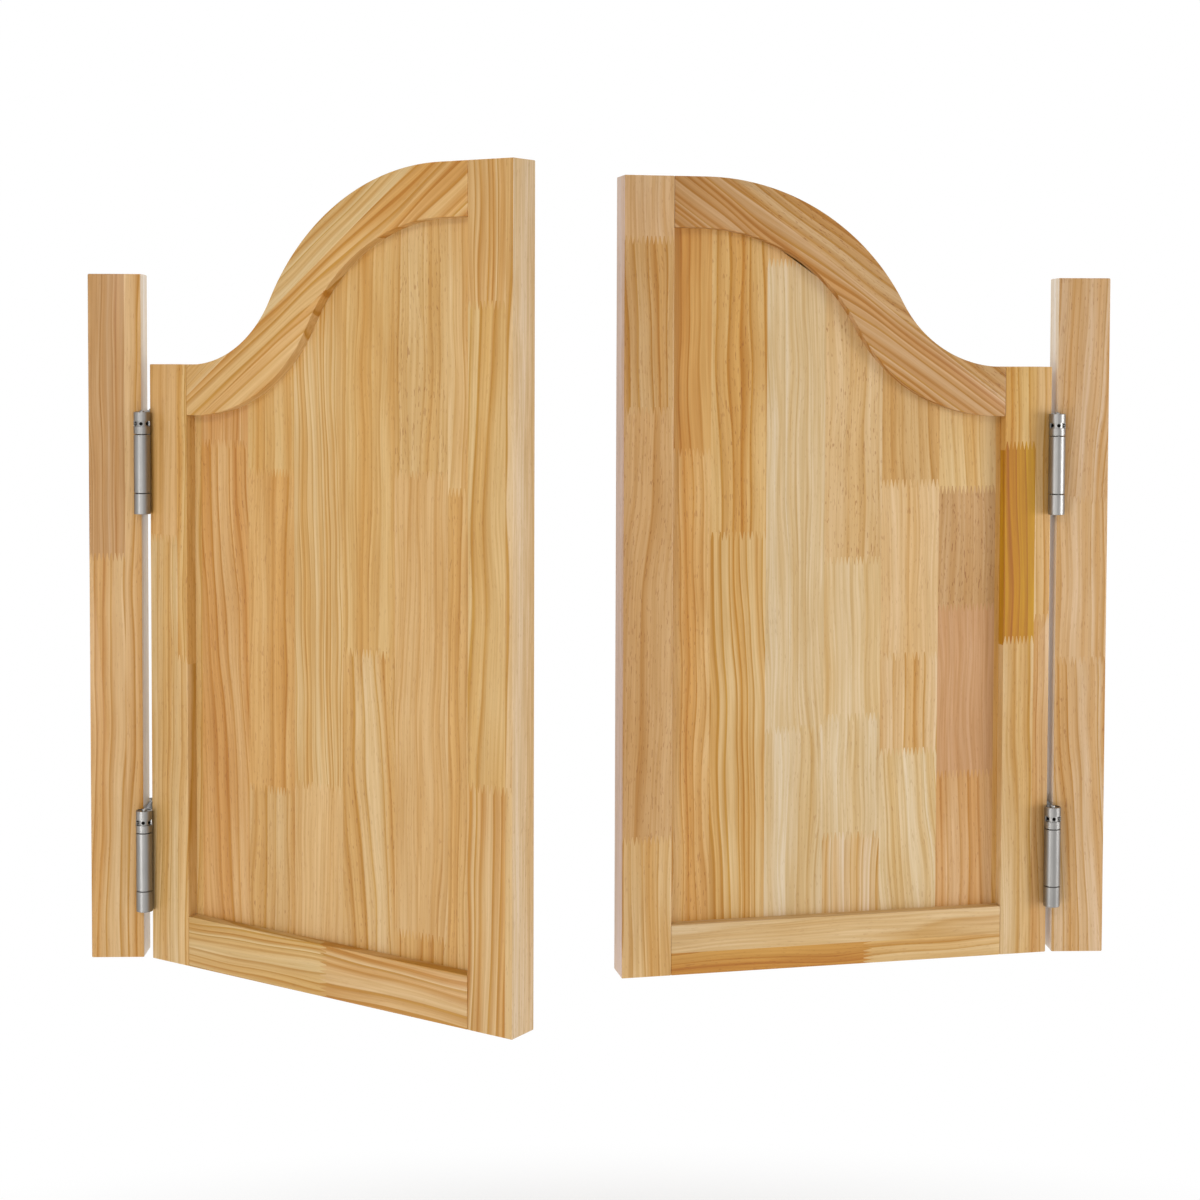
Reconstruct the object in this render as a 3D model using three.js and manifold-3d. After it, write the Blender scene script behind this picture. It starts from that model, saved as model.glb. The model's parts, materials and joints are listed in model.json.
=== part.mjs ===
// Pair of cafe swinging doors.
// Two framed pine leaves with S-curved tops hang from wall battens on double-action spring hinges.
// Millimetres, +Z up, the viewer stands at -Y. The origin is the middle of the doorway,
// level with the bottom of the leaves and halfway through the thickness of the closed leaves.

import * as THREE from 'three';
import { mergeVertices } from 'three/addons/utils/BufferGeometryUtils.js';
import Module from 'manifold-3d';

const wasm = await Module();
wasm.setup();

// Leaves
const LEAF_WIDTH = 446;
const LEAF_THICKNESS = 34;
const HINGE_SIDE_HEIGHT = 600;
const MEETING_SIDE_HEIGHT = 785;
const MEETING_GAP = 23.5;
const STILE_WIDTH = 50;
const TOP_RAIL_DEPTH = 50;
const BOTTOM_RAIL_DEPTH = 50;
const PANEL_THICKNESS = 10;
const GROOVE_DEPTH = 9;
const WOOD_JOINT_GAP = 0.3;

// Curved top: a level run at each stile, a hollow arc, then a round arc
const HINGE_LEVEL_RUN = 4;
const MEETING_LEVEL_RUN = 32;
const HOLLOW_RADIUS = 120;
const INNER_CURVE_SHIFT = 4;
const ARC_STEPS = 10;

// Battens that screw to the door jambs
const BATTEN_WIDTH = 52.75;
const BATTEN_HEIGHT = 690;

// Double-action spring hinges
const HINGE_HEIGHT = 102;
const LOWER_HINGE_SPACE = 50;
const UPPER_HINGE_SPACE = 47.5;
const PLATE_THICKNESS = 1;
const PLATE_CLEARANCE = 0.5;
const PLATE_SEAT_GAP = 0.25;
const PLATE_INSET = 1;
const BARREL_DIAMETER = 16.5;
const BARREL_WALL = 1.5;
const BARREL_STANDOFF = 0.25;
const TOP_KNUCKLE_HEIGHT = 22;
const BOTTOM_KNUCKLE_HEIGHT = 20.5;
const KNUCKLE_SEAM = 0.7;
const WEB_NOTCH_CLEARANCE = 1;
const BORE_CLEARANCE = 0.3;
const END_RECESS = 0.8;

// Tension slot, collar and pin in the head of each barrel
const SLOT_ARC_DEGREES = 150;
const SLOT_HEIGHT = 5.5;
const SLOT_BELOW_TOP = 9;
const COLLAR_HOLES = 6;
const COLLAR_HOLE_DIAMETER = 3.6;
const COLLAR_HOLE_DEPTH = 2.4;
const PIN_DIAMETER = 3;
const PIN_PROUD = 0.3;
const PIN_CLEARANCE = 0.3;

// Spindle and torsion spring inside each barrel
const SPINDLE_DIAMETER = 4.8;
const SPINDLE_HEAD_HEIGHT = 1.8;
const SPRING_WIRE = 1.8;
const SPRING_DIAMETER = 9;
const SPRING_TURNS = 6;
const SPRING_END_GAP = 0.3;

// Countersunk screw holes in the flange plates
const SCREW_COUNT = 4;
const SCREW_END_SPACE = 14;
const SCREW_STAGGER = 14;
const SCREW_HEAD_DIAMETER = 7;
const SCREW_SHANK_DIAMETER = 4;

// How far each leaf stands open towards the viewer
const LEFT_OPENING_DEGREES = 35;
const RIGHT_OPENING_DEGREES = 10.5;

// Roundness
const BARREL_SIDES = 24;
const ROD_SIDES = 8;
const HOLE_SIDES = 8;
const SPRING_STEPS_PER_TURN = 6;
const SPRING_WIRE_SIDES = 4;
const CUT_OVERRUN = 1;

// Sizes that follow
const HINGE_GAP = 3 * PLATE_THICKNESS + 2 * PLATE_CLEARANCE + 2 * PLATE_SEAT_GAP;
const UNIT_X = LEAF_WIDTH + HINGE_GAP / 2 + MEETING_GAP / 2;
const BARREL_RADIUS = BARREL_DIAMETER / 2;
const BORE_RADIUS = BARREL_RADIUS - BARREL_WALL;
const FILL_RADIUS = BORE_RADIUS - BORE_CLEARANCE;
const AXIS_Y = LEAF_THICKNESS / 2 + BARREL_RADIUS + BARREL_STANDOFF;
const UPPER_HINGE_Z = HINGE_SIDE_HEIGHT - UPPER_HINGE_SPACE - HINGE_HEIGHT;
const MIDDLE_LOW = BOTTOM_KNUCKLE_HEIGHT + KNUCKLE_SEAM;
const MIDDLE_HIGH = HINGE_HEIGHT - TOP_KNUCKLE_HEIGHT - KNUCKLE_SEAM;
const TOP_KNUCKLE_LOW = HINGE_HEIGHT - TOP_KNUCKLE_HEIGHT;
const PLUG_HIGH = BOTTOM_KNUCKLE_HEIGHT - END_RECESS;
const COLLAR_LOW = TOP_KNUCKLE_LOW + END_RECESS;
const COLLAR_HIGH = HINGE_HEIGHT - END_RECESS;
const SLOT_HIGH = HINGE_HEIGHT - SLOT_BELOW_TOP;
const SLOT_MIDDLE = SLOT_HIGH - SLOT_HEIGHT / 2;
const GROOVE_WIDTH = PANEL_THICKNESS + 2 * WOOD_JOINT_GAP;
const TENON_LENGTH = GROOVE_DEPTH - WOOD_JOINT_GAP;
const RAIL_START = STILE_WIDTH + WOOD_JOINT_GAP;
const RAIL_END = LEAF_WIDTH - STILE_WIDTH - WOOD_JOINT_GAP;
const CURVE_START = STILE_WIDTH + HINGE_LEVEL_RUN;
const CURVE_END = LEAF_WIDTH - STILE_WIDTH - MEETING_LEVEL_RUN;
const CURVE_RISE = MEETING_SIDE_HEIGHT - HINGE_SIDE_HEIGHT;
const CURVE_ANGLE = 2 * Math.atan2(CURVE_RISE, CURVE_END - CURVE_START);
const ROUND_RADIUS = (CURVE_END - CURVE_START) / Math.sin(CURVE_ANGLE) - HOLLOW_RADIUS;
const QUARTER_TURN = Math.PI / 2;

// Finishes
const pine = () => new THREE.MeshStandardMaterial({ color: 0xd8ae6e, roughness: 0.42, metalness: 0 });
const palePine = () => new THREE.MeshStandardMaterial({ color: 0xdfbd84, roughness: 0.42, metalness: 0 });
const steel = () => new THREE.MeshStandardMaterial({ color: 0xb4b2ae, roughness: 0.34, metalness: 1 });
const darkSteel = () => new THREE.MeshStandardMaterial({ color: 0x6f6d6a, roughness: 0.5, metalness: 1 });

// Closed geometry to a solid for joining and cutting
function solid(geometry) {
  const bare = geometry.clone();
  bare.deleteAttribute('normal');
  bare.deleteAttribute('uv');
  const merged = mergeVertices(bare, 1e-3);
  const corners = merged.index.array;
  const triVerts = [];
  for (let i = 0; i < corners.length; i += 3) {
    const [a, b, c] = corners.slice(i, i + 3);
    if (a !== b && b !== c && c !== a) triVerts.push(a, b, c);
  }
  const vertProperties = merged.attributes.position.array;
  return new wasm.Manifold(new wasm.Mesh({ numProp: 3, vertProperties, triVerts: Uint32Array.from(triVerts) }));
}

// Solid to a named mesh
function piece(name, shape, material) {
  const { vertProperties, triVerts } = shape.getMesh();
  const geometry = new THREE.BufferGeometry();
  geometry.setAttribute('position', new THREE.BufferAttribute(vertProperties, 3));
  geometry.setIndex(new THREE.BufferAttribute(triVerts, 1));
  geometry.computeVertexNormals();
  const mesh = new THREE.Mesh(geometry, material);
  mesh.name = name;
  return mesh;
}

function block([x0, x1], [y0, y1], [z0, z1]) {
  const geometry = new THREE.BoxGeometry(x1 - x0, y1 - y0, z1 - z0);
  return solid(geometry.translate((x0 + x1) / 2, (y0 + y1) / 2, (z0 + z1) / 2));
}

// Upright round bar between two heights
function bar(radius, [z0, z1], sides) {
  const geometry = new THREE.CylinderGeometry(radius, radius, z1 - z0, sides);
  return solid(geometry.rotateX(QUARTER_TURN).translate(0, 0, (z0 + z1) / 2));
}

// Face outline, drawn in width and height, given a thickness about the middle plane
function board(outline, thickness) {
  const geometry = new THREE.ExtrudeGeometry(outline, {
    depth: thickness,
    bevelEnabled: false,
    curveSegments: ARC_STEPS,
  });
  return solid(geometry.rotateX(QUARTER_TURN).translate(0, thickness / 2, 0));
}

// Plan outline given a height
function column(outline, height) {
  return solid(new THREE.ExtrudeGeometry(outline, { depth: height, bevelEnabled: false }));
}

const across = (thickness) => [-thickness / 2, thickness / 2];

// The S-curve of the leaf's top, lowered square to itself by drop and moved along by shift
const hollowCentre = (shift) => [CURVE_START + shift, HINGE_SIDE_HEIGHT + HOLLOW_RADIUS];
const roundCentre = (shift) => [CURVE_END + shift, MEETING_SIDE_HEIGHT - ROUND_RADIUS];

function curveUp(outline, drop, shift) {
  const hollowEnd = CURVE_ANGLE - QUARTER_TURN;
  const roundStart = CURVE_ANGLE + QUARTER_TURN;
  outline.absarc(...hollowCentre(shift), HOLLOW_RADIUS + drop, -QUARTER_TURN, hollowEnd, false);
  outline.absarc(...roundCentre(shift), ROUND_RADIUS - drop, roundStart, QUARTER_TURN, true);
}

function curveDown(outline, drop, shift) {
  const hollowStart = CURVE_ANGLE - QUARTER_TURN;
  const roundEnd = CURVE_ANGLE + QUARTER_TURN;
  outline.absarc(...roundCentre(shift), ROUND_RADIUS - drop, QUARTER_TURN, roundEnd, false);
  outline.absarc(...hollowCentre(shift), HOLLOW_RADIUS + drop, hollowStart, -QUARTER_TURN, true);
}

// Stile from its outer edge inwards, with the panel groove along its inner edge
function stile(height) {
  const half = LEAF_THICKNESS / 2;
  const lip = GROOVE_WIDTH / 2;
  const floor = STILE_WIDTH - GROOVE_DEPTH;
  const plan = new THREE.Shape();
  plan.moveTo(0, -half);
  plan.lineTo(STILE_WIDTH, -half);
  plan.lineTo(STILE_WIDTH, -lip);
  plan.lineTo(floor, -lip);
  plan.lineTo(floor, lip);
  plan.lineTo(STILE_WIDTH, lip);
  plan.lineTo(STILE_WIDTH, half);
  plan.lineTo(0, half);
  plan.closePath();
  return column(plan, height);
}

// Curved rail between the stiles, with stub tenons for their grooves and a groove for the panel
function topRail() {
  const outline = new THREE.Shape();
  outline.moveTo(RAIL_START, HINGE_SIDE_HEIGHT - TOP_RAIL_DEPTH);
  curveUp(outline, TOP_RAIL_DEPTH, INNER_CURVE_SHIFT);
  outline.lineTo(RAIL_END, MEETING_SIDE_HEIGHT - TOP_RAIL_DEPTH);
  outline.lineTo(RAIL_END, MEETING_SIDE_HEIGHT);
  curveDown(outline, 0, 0);
  outline.lineTo(RAIL_START, HINGE_SIDE_HEIGHT);
  outline.closePath();

  const hingeTenon = block(
    [STILE_WIDTH - TENON_LENGTH, RAIL_START + CUT_OVERRUN],
    across(PANEL_THICKNESS),
    [HINGE_SIDE_HEIGHT - TOP_RAIL_DEPTH, HINGE_SIDE_HEIGHT],
  );
  const meetingTenon = block(
    [RAIL_END - CUT_OVERRUN, LEAF_WIDTH - STILE_WIDTH + TENON_LENGTH],
    across(PANEL_THICKNESS),
    [MEETING_SIDE_HEIGHT - TOP_RAIL_DEPTH, MEETING_SIDE_HEIGHT],
  );

  const grooveDrop = TOP_RAIL_DEPTH - GROOVE_DEPTH;
  const groove = new THREE.Shape();
  groove.moveTo(0, 0);
  groove.lineTo(LEAF_WIDTH, 0);
  groove.lineTo(LEAF_WIDTH, MEETING_SIDE_HEIGHT - grooveDrop);
  curveDown(groove, grooveDrop, INNER_CURVE_SHIFT);
  groove.lineTo(0, HINGE_SIDE_HEIGHT - grooveDrop);
  groove.closePath();

  return board(outline, LEAF_THICKNESS)
    .add(hingeTenon)
    .add(meetingTenon)
    .subtract(board(groove, GROOVE_WIDTH));
}

// Straight rail at the foot, with stub tenons below its panel groove
function bottomRail() {
  const rail = block([RAIL_START, RAIL_END], across(LEAF_THICKNESS), [0, BOTTOM_RAIL_DEPTH]);
  const grooveFloor = BOTTOM_RAIL_DEPTH - GROOVE_DEPTH;
  const tenons = block(
    [STILE_WIDTH - TENON_LENGTH, LEAF_WIDTH - STILE_WIDTH + TENON_LENGTH],
    across(PANEL_THICKNESS),
    [0, grooveFloor],
  );
  const groove = block([0, LEAF_WIDTH], across(GROOVE_WIDTH), [grooveFloor, BOTTOM_RAIL_DEPTH + CUT_OVERRUN]);
  return rail.add(tenons).subtract(groove);
}

// Solid panel held in the grooves of the stiles and rails
function panel() {
  const start = STILE_WIDTH - TENON_LENGTH;
  const end = LEAF_WIDTH - STILE_WIDTH + TENON_LENGTH;
  const foot = BOTTOM_RAIL_DEPTH - TENON_LENGTH;
  const drop = TOP_RAIL_DEPTH - TENON_LENGTH;
  const outline = new THREE.Shape();
  outline.moveTo(start, foot);
  outline.lineTo(end, foot);
  outline.lineTo(end, MEETING_SIDE_HEIGHT - drop);
  curveDown(outline, drop, INNER_CURVE_SHIFT);
  outline.lineTo(start, HINGE_SIDE_HEIGHT - drop);
  outline.closePath();
  return board(outline, PANEL_THICKNESS);
}

// Flange for the batten: a screwed plate in the hinge gap and the middle knuckle of the back barrel
function flange() {
  const seat = PLATE_SEAT_GAP - HINGE_GAP / 2;
  const plateX = [seat, seat + PLATE_THICKNESS];
  const reach = LEAF_THICKNESS / 2 - PLATE_INSET;
  const plate = block(plateX, [-reach, reach], [0, HINGE_HEIGHT]);
  const neck = block(plateX, [reach - CUT_OVERRUN, AXIS_Y], [MIDDLE_LOW, MIDDLE_HIGH]);
  const knuckle = bar(BARREL_RADIUS, [MIDDLE_LOW, MIDDLE_HIGH], BARREL_SIDES).translate([0, AXIS_Y, 0]);
  const bore = bar(BORE_RADIUS, [0, HINGE_HEIGHT], BARREL_SIDES).translate([0, AXIS_Y, 0]);

  let shape = plate.add(neck).add(knuckle).subtract(bore);
  const pitch = (HINGE_HEIGHT - 2 * SCREW_END_SPACE) / (SCREW_COUNT - 1);
  for (let i = 0; i < SCREW_COUNT; i += 1) {
    const countersink = new THREE.CylinderGeometry(
      SCREW_SHANK_DIAMETER / 2,
      SCREW_HEAD_DIAMETER / 2,
      PLATE_THICKNESS,
      HOLE_SIDES,
    );
    const side = i % 2 === 0 ? -1 : 1;
    const place = [seat + PLATE_THICKNESS / 2, side * SCREW_STAGGER / 2, SCREW_END_SPACE + i * pitch];
    shape = shape.subtract(solid(countersink.rotateZ(QUARTER_TURN).translate(...place)));
  }
  return shape;
}

// Arc-shaped window in the front half of a top knuckle
function tensionSlot() {
  const half = THREE.MathUtils.degToRad(SLOT_ARC_DEGREES) / 2;
  const outer = BARREL_RADIUS + CUT_OVERRUN;
  const inner = FILL_RADIUS - CUT_OVERRUN;
  const plan = new THREE.Shape();
  plan.absarc(0, 0, outer, -QUARTER_TURN - half, half - QUARTER_TURN, false);
  plan.absarc(0, 0, inner, half - QUARTER_TURN, -QUARTER_TURN - half, true);
  plan.closePath();
  const geometry = new THREE.ExtrudeGeometry(plan, {
    depth: SLOT_HEIGHT,
    bevelEnabled: false,
    curveSegments: BARREL_SIDES,
  });
  return solid(geometry.translate(0, 0, SLOT_HIGH - SLOT_HEIGHT));
}

// Web plate between the flanges, rolled into the top and bottom knuckles of both barrels
function web() {
  const waist = AXIS_Y - BARREL_RADIUS - WEB_NOTCH_CLEARANCE;
  const notchZ = [BOTTOM_KNUCKLE_HEIGHT, TOP_KNUCKLE_LOW];
  const plateX = across(PLATE_THICKNESS);
  const ends = [-1, 1].map((side) => ({ side, y: side * AXIS_Y }));
  let shape = block(plateX, [-AXIS_Y, AXIS_Y], [0, HINGE_HEIGHT]);
  for (const { side, y } of ends) {
    const beyond = side * (AXIS_Y + CUT_OVERRUN);
    const notchY = side < 0 ? [beyond, -waist] : [waist, beyond];
    shape = shape.subtract(block(across(BARREL_DIAMETER), notchY, notchZ));
    const bottomKnuckle = bar(BARREL_RADIUS, [0, BOTTOM_KNUCKLE_HEIGHT], BARREL_SIDES);
    const topKnuckle = bar(BARREL_RADIUS, [TOP_KNUCKLE_LOW, HINGE_HEIGHT], BARREL_SIDES);
    shape = shape.add(bottomKnuckle.translate([0, y, 0])).add(topKnuckle.translate([0, y, 0]));
  }
  for (const { side, y } of ends) {
    const bore = bar(BORE_RADIUS, [-CUT_OVERRUN, HINGE_HEIGHT + CUT_OVERRUN], BARREL_SIDES);
    const slot = tensionSlot().rotate([0, 0, side < 0 ? 0 : 180]);
    shape = shape.subtract(bore.translate([0, y, 0])).subtract(slot.translate([0, y, 0]));
  }
  return shape;
}

// Spindle with its plug in the bottom knuckle and a riveted head above the top knuckle
function spindle() {
  const rod = SPINDLE_DIAMETER / 2;
  const headHigh = HINGE_HEIGHT + SPINDLE_HEAD_HEIGHT;
  const profile = [
    [0, END_RECESS],
    [FILL_RADIUS, END_RECESS],
    [FILL_RADIUS, PLUG_HIGH],
    [rod, PLUG_HIGH],
    [rod, headHigh - SPINDLE_HEAD_HEIGHT / 2],
    [rod / 2, headHigh],
    [0, headHigh],
  ].map(([radius, height]) => new THREE.Vector2(radius, height));
  return solid(new THREE.LatheGeometry(profile, BARREL_SIDES).rotateX(QUARTER_TURN));
}

// Collar that winds the spring, with blind radial holes for the tension pin
function tensionCollar() {
  const bore = SPINDLE_DIAMETER / 2 + BORE_CLEARANCE;
  let shape = bar(FILL_RADIUS, [COLLAR_LOW, COLLAR_HIGH], BARREL_SIDES);
  shape = shape.subtract(bar(bore, [COLLAR_LOW - CUT_OVERRUN, COLLAR_HIGH + CUT_OVERRUN], ROD_SIDES));
  const length = COLLAR_HOLE_DEPTH + CUT_OVERRUN;
  const middle = FILL_RADIUS - COLLAR_HOLE_DEPTH + length / 2;
  for (let i = 0; i < COLLAR_HOLES; i += 1) {
    const radius = COLLAR_HOLE_DIAMETER / 2;
    const drill = solid(new THREE.CylinderGeometry(radius, radius, length, HOLE_SIDES).translate(0, -middle, 0));
    const turn = pinAngle() + 360 * i / COLLAR_HOLES;
    shape = shape.subtract(drill.rotate([0, 0, turn]).translate([0, 0, SLOT_MIDDLE]));
  }
  return shape;
}

// The tension pin rests just clear of one end of the slot
function pinAngle() {
  const side = Math.asin((PIN_DIAMETER / 2 + PIN_CLEARANCE) / BORE_RADIUS);
  return THREE.MathUtils.radToDeg(side) - SLOT_ARC_DEGREES / 2;
}

function tensionPin() {
  const inner = FILL_RADIUS - COLLAR_HOLE_DEPTH + PIN_CLEARANCE;
  const outer = BARREL_RADIUS + PIN_PROUD;
  const radius = PIN_DIAMETER / 2;
  const rod = new THREE.CylinderGeometry(radius, radius, outer - inner, ROD_SIDES);
  const shape = solid(rod.translate(0, -(inner + outer) / 2, 0));
  return shape.rotate([0, 0, pinAngle()]).translate([0, 0, SLOT_MIDDLE]);
}

// Torsion spring coiled round the spindle between its plug and the collar
class SpringPath extends THREE.Curve {
  getPoint(t, target = new THREE.Vector3()) {
    const low = PLUG_HIGH + SPRING_END_GAP + SPRING_WIRE / 2;
    const high = COLLAR_LOW - SPRING_END_GAP - SPRING_WIRE / 2;
    const angle = t * SPRING_TURNS * 2 * Math.PI;
    const radius = SPRING_DIAMETER / 2;
    return target.set(radius * Math.cos(angle), radius * Math.sin(angle), low + t * (high - low));
  }
}

function spring() {
  const section = new THREE.Shape();
  for (let i = 0; i < SPRING_WIRE_SIDES; i += 1) {
    const angle = 2 * Math.PI * i / SPRING_WIRE_SIDES;
    const corner = [Math.cos(angle) * SPRING_WIRE / 2, Math.sin(angle) * SPRING_WIRE / 2];
    if (i === 0) section.moveTo(...corner);
    else section.lineTo(...corner);
  }
  section.closePath();
  return solid(new THREE.ExtrudeGeometry(section, {
    extrudePath: new SpringPath(),
    steps: SPRING_TURNS * SPRING_STEPS_PER_TURN,
    bevelEnabled: false,
  }));
}

const halfTurned = (shape) => shape.rotate([0, 0, 180]);

// Fixed half of one hinge: what stays with the batten while the leaf opens towards the viewer
function fixedHinge(prefix) {
  const group = new THREE.Group();
  group.add(piece(`${prefix}_jamb_flange`, flange(), steel()));
  group.add(piece(`${prefix}_web`, web(), steel()));
  const back = new THREE.Group();
  back.position.y = AXIS_Y;
  const front = new THREE.Group();
  front.position.y = -AXIS_Y;
  back.add(piece(`${prefix}_back_spring`, spring(), darkSteel()));
  back.add(piece(`${prefix}_back_spindle`, spindle(), steel()));
  back.add(piece(`${prefix}_back_tension_collar`, halfTurned(tensionCollar()), steel()));
  back.add(piece(`${prefix}_back_tension_pin`, halfTurned(tensionPin()), darkSteel()));
  front.add(piece(`${prefix}_front_spindle`, spindle(), steel()));
  front.add(piece(`${prefix}_front_tension_collar`, tensionCollar(), steel()));
  front.add(piece(`${prefix}_front_tension_pin`, tensionPin(), darkSteel()));
  group.add(back, front);
  return group;
}

// Swinging half of one hinge: the leaf's flange and the spring in its middle knuckle
function swingingHinge(prefix) {
  const group = new THREE.Group();
  group.add(piece(`${prefix}_leaf_flange`, halfTurned(flange()), steel()));
  const frontSpring = piece(`${prefix}_front_spring`, spring(), darkSteel());
  frontSpring.position.y = -AXIS_Y;
  group.add(frontSpring);
  return group;
}

// Framed leaf, measured from its hinge edge
function leaf(side) {
  const group = new THREE.Group();
  const hingeStile = piece(`${side}_hinge_stile`, stile(HINGE_SIDE_HEIGHT), pine());
  const mirroredStile = stile(MEETING_SIDE_HEIGHT).rotate([0, 0, 180]);
  const meetingStile = piece(`${side}_meeting_stile`, mirroredStile, pine());
  meetingStile.position.x = LEAF_WIDTH;
  group.add(hingeStile, meetingStile);
  group.add(piece(`${side}_top_rail`, topRail(), pine()));
  group.add(piece(`${side}_bottom_rail`, bottomRail(), pine()));
  group.add(piece(`${side}_panel`, panel(), palePine()));
  return group;
}

// One hung leaf about the middle of its hinge gap, drawn for the left side of the doorway
function unit(side, openingDegrees) {
  const group = new THREE.Group();
  const battenX = [-HINGE_GAP / 2 - BATTEN_WIDTH, -HINGE_GAP / 2];
  const batten = block(battenX, across(LEAF_THICKNESS), [0, BATTEN_HEIGHT]);
  group.add(piece(`${side}_batten`, batten, palePine()));

  const swing = new THREE.Group();
  swing.position.y = -AXIS_Y;
  swing.rotation.z = -THREE.MathUtils.degToRad(openingDegrees);
  const hung = new THREE.Group();
  hung.position.y = AXIS_Y;
  const framed = leaf(side);
  framed.position.x = HINGE_GAP / 2;
  hung.add(framed);
  for (const [level, height] of [['lower', LOWER_HINGE_SPACE], ['upper', UPPER_HINGE_Z]]) {
    const fixed = fixedHinge(`${side}_${level}`);
    fixed.position.z = height;
    group.add(fixed);
    const swinging = swingingHinge(`${side}_${level}`);
    swinging.position.z = height;
    hung.add(swinging);
  }
  swing.add(hung);
  group.add(swing);
  return group;
}

const doors = new THREE.Group();
const leftUnit = unit('left', LEFT_OPENING_DEGREES);
leftUnit.position.x = -UNIT_X;
const rightUnit = unit('right', RIGHT_OPENING_DEGREES);
rightUnit.position.x = UNIT_X;
rightUnit.scale.x = -1;
doors.add(leftUnit, rightUnit);

export default doors;
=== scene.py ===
import json
import math
import random

import bmesh
import bpy
import numpy as np
from mathutils import Matrix, Vector


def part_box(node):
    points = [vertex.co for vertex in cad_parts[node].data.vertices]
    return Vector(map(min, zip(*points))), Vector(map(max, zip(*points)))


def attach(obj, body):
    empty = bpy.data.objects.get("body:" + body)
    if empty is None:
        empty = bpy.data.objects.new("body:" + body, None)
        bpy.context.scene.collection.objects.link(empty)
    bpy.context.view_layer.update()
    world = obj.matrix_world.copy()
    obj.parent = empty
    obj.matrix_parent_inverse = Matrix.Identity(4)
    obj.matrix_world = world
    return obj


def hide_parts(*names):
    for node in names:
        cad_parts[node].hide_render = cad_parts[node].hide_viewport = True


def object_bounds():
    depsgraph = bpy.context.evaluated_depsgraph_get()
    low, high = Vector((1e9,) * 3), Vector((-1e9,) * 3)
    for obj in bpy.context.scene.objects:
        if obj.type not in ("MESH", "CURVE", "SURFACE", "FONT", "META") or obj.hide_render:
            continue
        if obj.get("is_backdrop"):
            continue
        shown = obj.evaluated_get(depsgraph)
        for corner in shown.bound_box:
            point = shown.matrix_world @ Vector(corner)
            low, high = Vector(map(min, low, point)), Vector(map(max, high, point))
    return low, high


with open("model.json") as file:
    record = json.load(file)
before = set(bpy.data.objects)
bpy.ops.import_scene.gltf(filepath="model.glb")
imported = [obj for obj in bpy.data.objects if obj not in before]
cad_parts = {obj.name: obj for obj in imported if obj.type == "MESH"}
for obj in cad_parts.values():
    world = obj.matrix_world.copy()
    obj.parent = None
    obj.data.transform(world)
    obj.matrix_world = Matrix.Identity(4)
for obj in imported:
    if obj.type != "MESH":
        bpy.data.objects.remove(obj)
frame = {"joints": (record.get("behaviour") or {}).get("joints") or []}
cad_low, cad_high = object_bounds()

# Battens
# Plain upright strips that screw to the door jambs and carry the hinges.
# Clear-lacquered pine, glued end to end with finger joints and planed, with eased edges.
# Everything is drawn for the left of the doorway, and the right side is its mirror image.
MM = 0.001
SIDES = ("left", "right")
BATTEN_EASE = 1.2 * MM
FINGER_PITCH = 4 * MM
FINGER_LENGTH = 9 * MM
FINGER_TIP = 0.2
QUARTER_TURN = math.radians(90)
UPRIGHT = QUARTER_TURN
EASED_ANGLE = math.radians(40)
WOOD_CREASE = math.radians(25)
DECIMALS = 6
ON_EDGE = 1e-6
OFF_CORNER = 1e-4

# Heartwood and sapwood colours under clear lacquer
TINTS = {
    "cream": (0.615, 0.45, 0.242),
    "pale": (0.605, 0.408, 0.190),
    "sand": (0.575, 0.366, 0.180),
    "straw": (0.605, 0.388, 0.154),
    "tan": (0.60, 0.371, 0.145),
    "golden": (0.60, 0.356, 0.118),
    "honey": (0.59, 0.324, 0.108),
    "fawn": (0.535, 0.333, 0.125),
    "pink": (0.557, 0.323, 0.127),
    "rose": (0.508, 0.276, 0.118),
    "orange": (0.562, 0.301, 0.076),
    "russet": (0.487, 0.283, 0.108),
    "amber": (0.468, 0.22, 0.004),
    "brown": (0.52, 0.248, 0.043),
}
TINT_SPREAD = 0.02

# Sawings: the pith's distance aside and behind and the ring width in millimetres,
# lean aside and through, and how strongly the rings and the flecks show
SAWINGS = {
    "straight": (85, 15, 10.0, 0.012, 0.00, 1.2, 0.45),
    "lined": (85, 15, 6.5, -0.012, 0.00, 1.35, 0.2),
    "striped": (85, 15, 13.0, 0.012, 0.00, 1.5, 0.5),
    "banded": (85, 15, 8.5, 0.025, 0.00, 2.2, 0.15),
    "slanted": (70, 25, 10.0, 0.060, 0.00, 1.15, 0.5),
    "leaning": (70, 25, 10.0, -0.065, 0.00, 1.25, 0.5),
    "streaked": (75, 20, 26.0, -0.050, 0.00, 1.3, 0.7),
    "cathedral": (14, 24, 6.0, 0.015, 0.02, 0.95, 0.3),
    "wavy": (32, 20, 8.0, 0.030, 0.01, 1.3, 0.3),
    "dashed": (70, 25, 7.0, 0.020, 0.00, 2.2, 0.9),
    "plain": (85, 30, 10.0, 0.020, 0.00, 0.5, 0.35),
    "flecked": (85, 30, 11.0, 0.012, 0.00, 0.65, 0.7),
}
SAWING_SPREAD = 0.35
GROWTH_SEED = 5
chance = random.Random(GROWTH_SEED)

swings = {joint["name"]: joint for joint in frame["joints"]}
front_axis = Vector(swings["left_front_swing"]["pos_m"])
batten_low, batten_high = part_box("left_batten")
half_gap = front_axis.x - batten_high.x
fixed = {
    "left": Matrix.Translation((front_axis.x, 0, 0)),
    "right": Matrix.Translation((-front_axis.x, 0, 0)) @ Matrix.Diagonal((-1, 1, 1, 1)),
}


def add(name, data):
    """Adds an object to the scene, at the origin."""
    thing = bpy.data.objects.new(name, data)
    bpy.context.scene.collection.objects.link(thing)
    return thing


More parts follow.
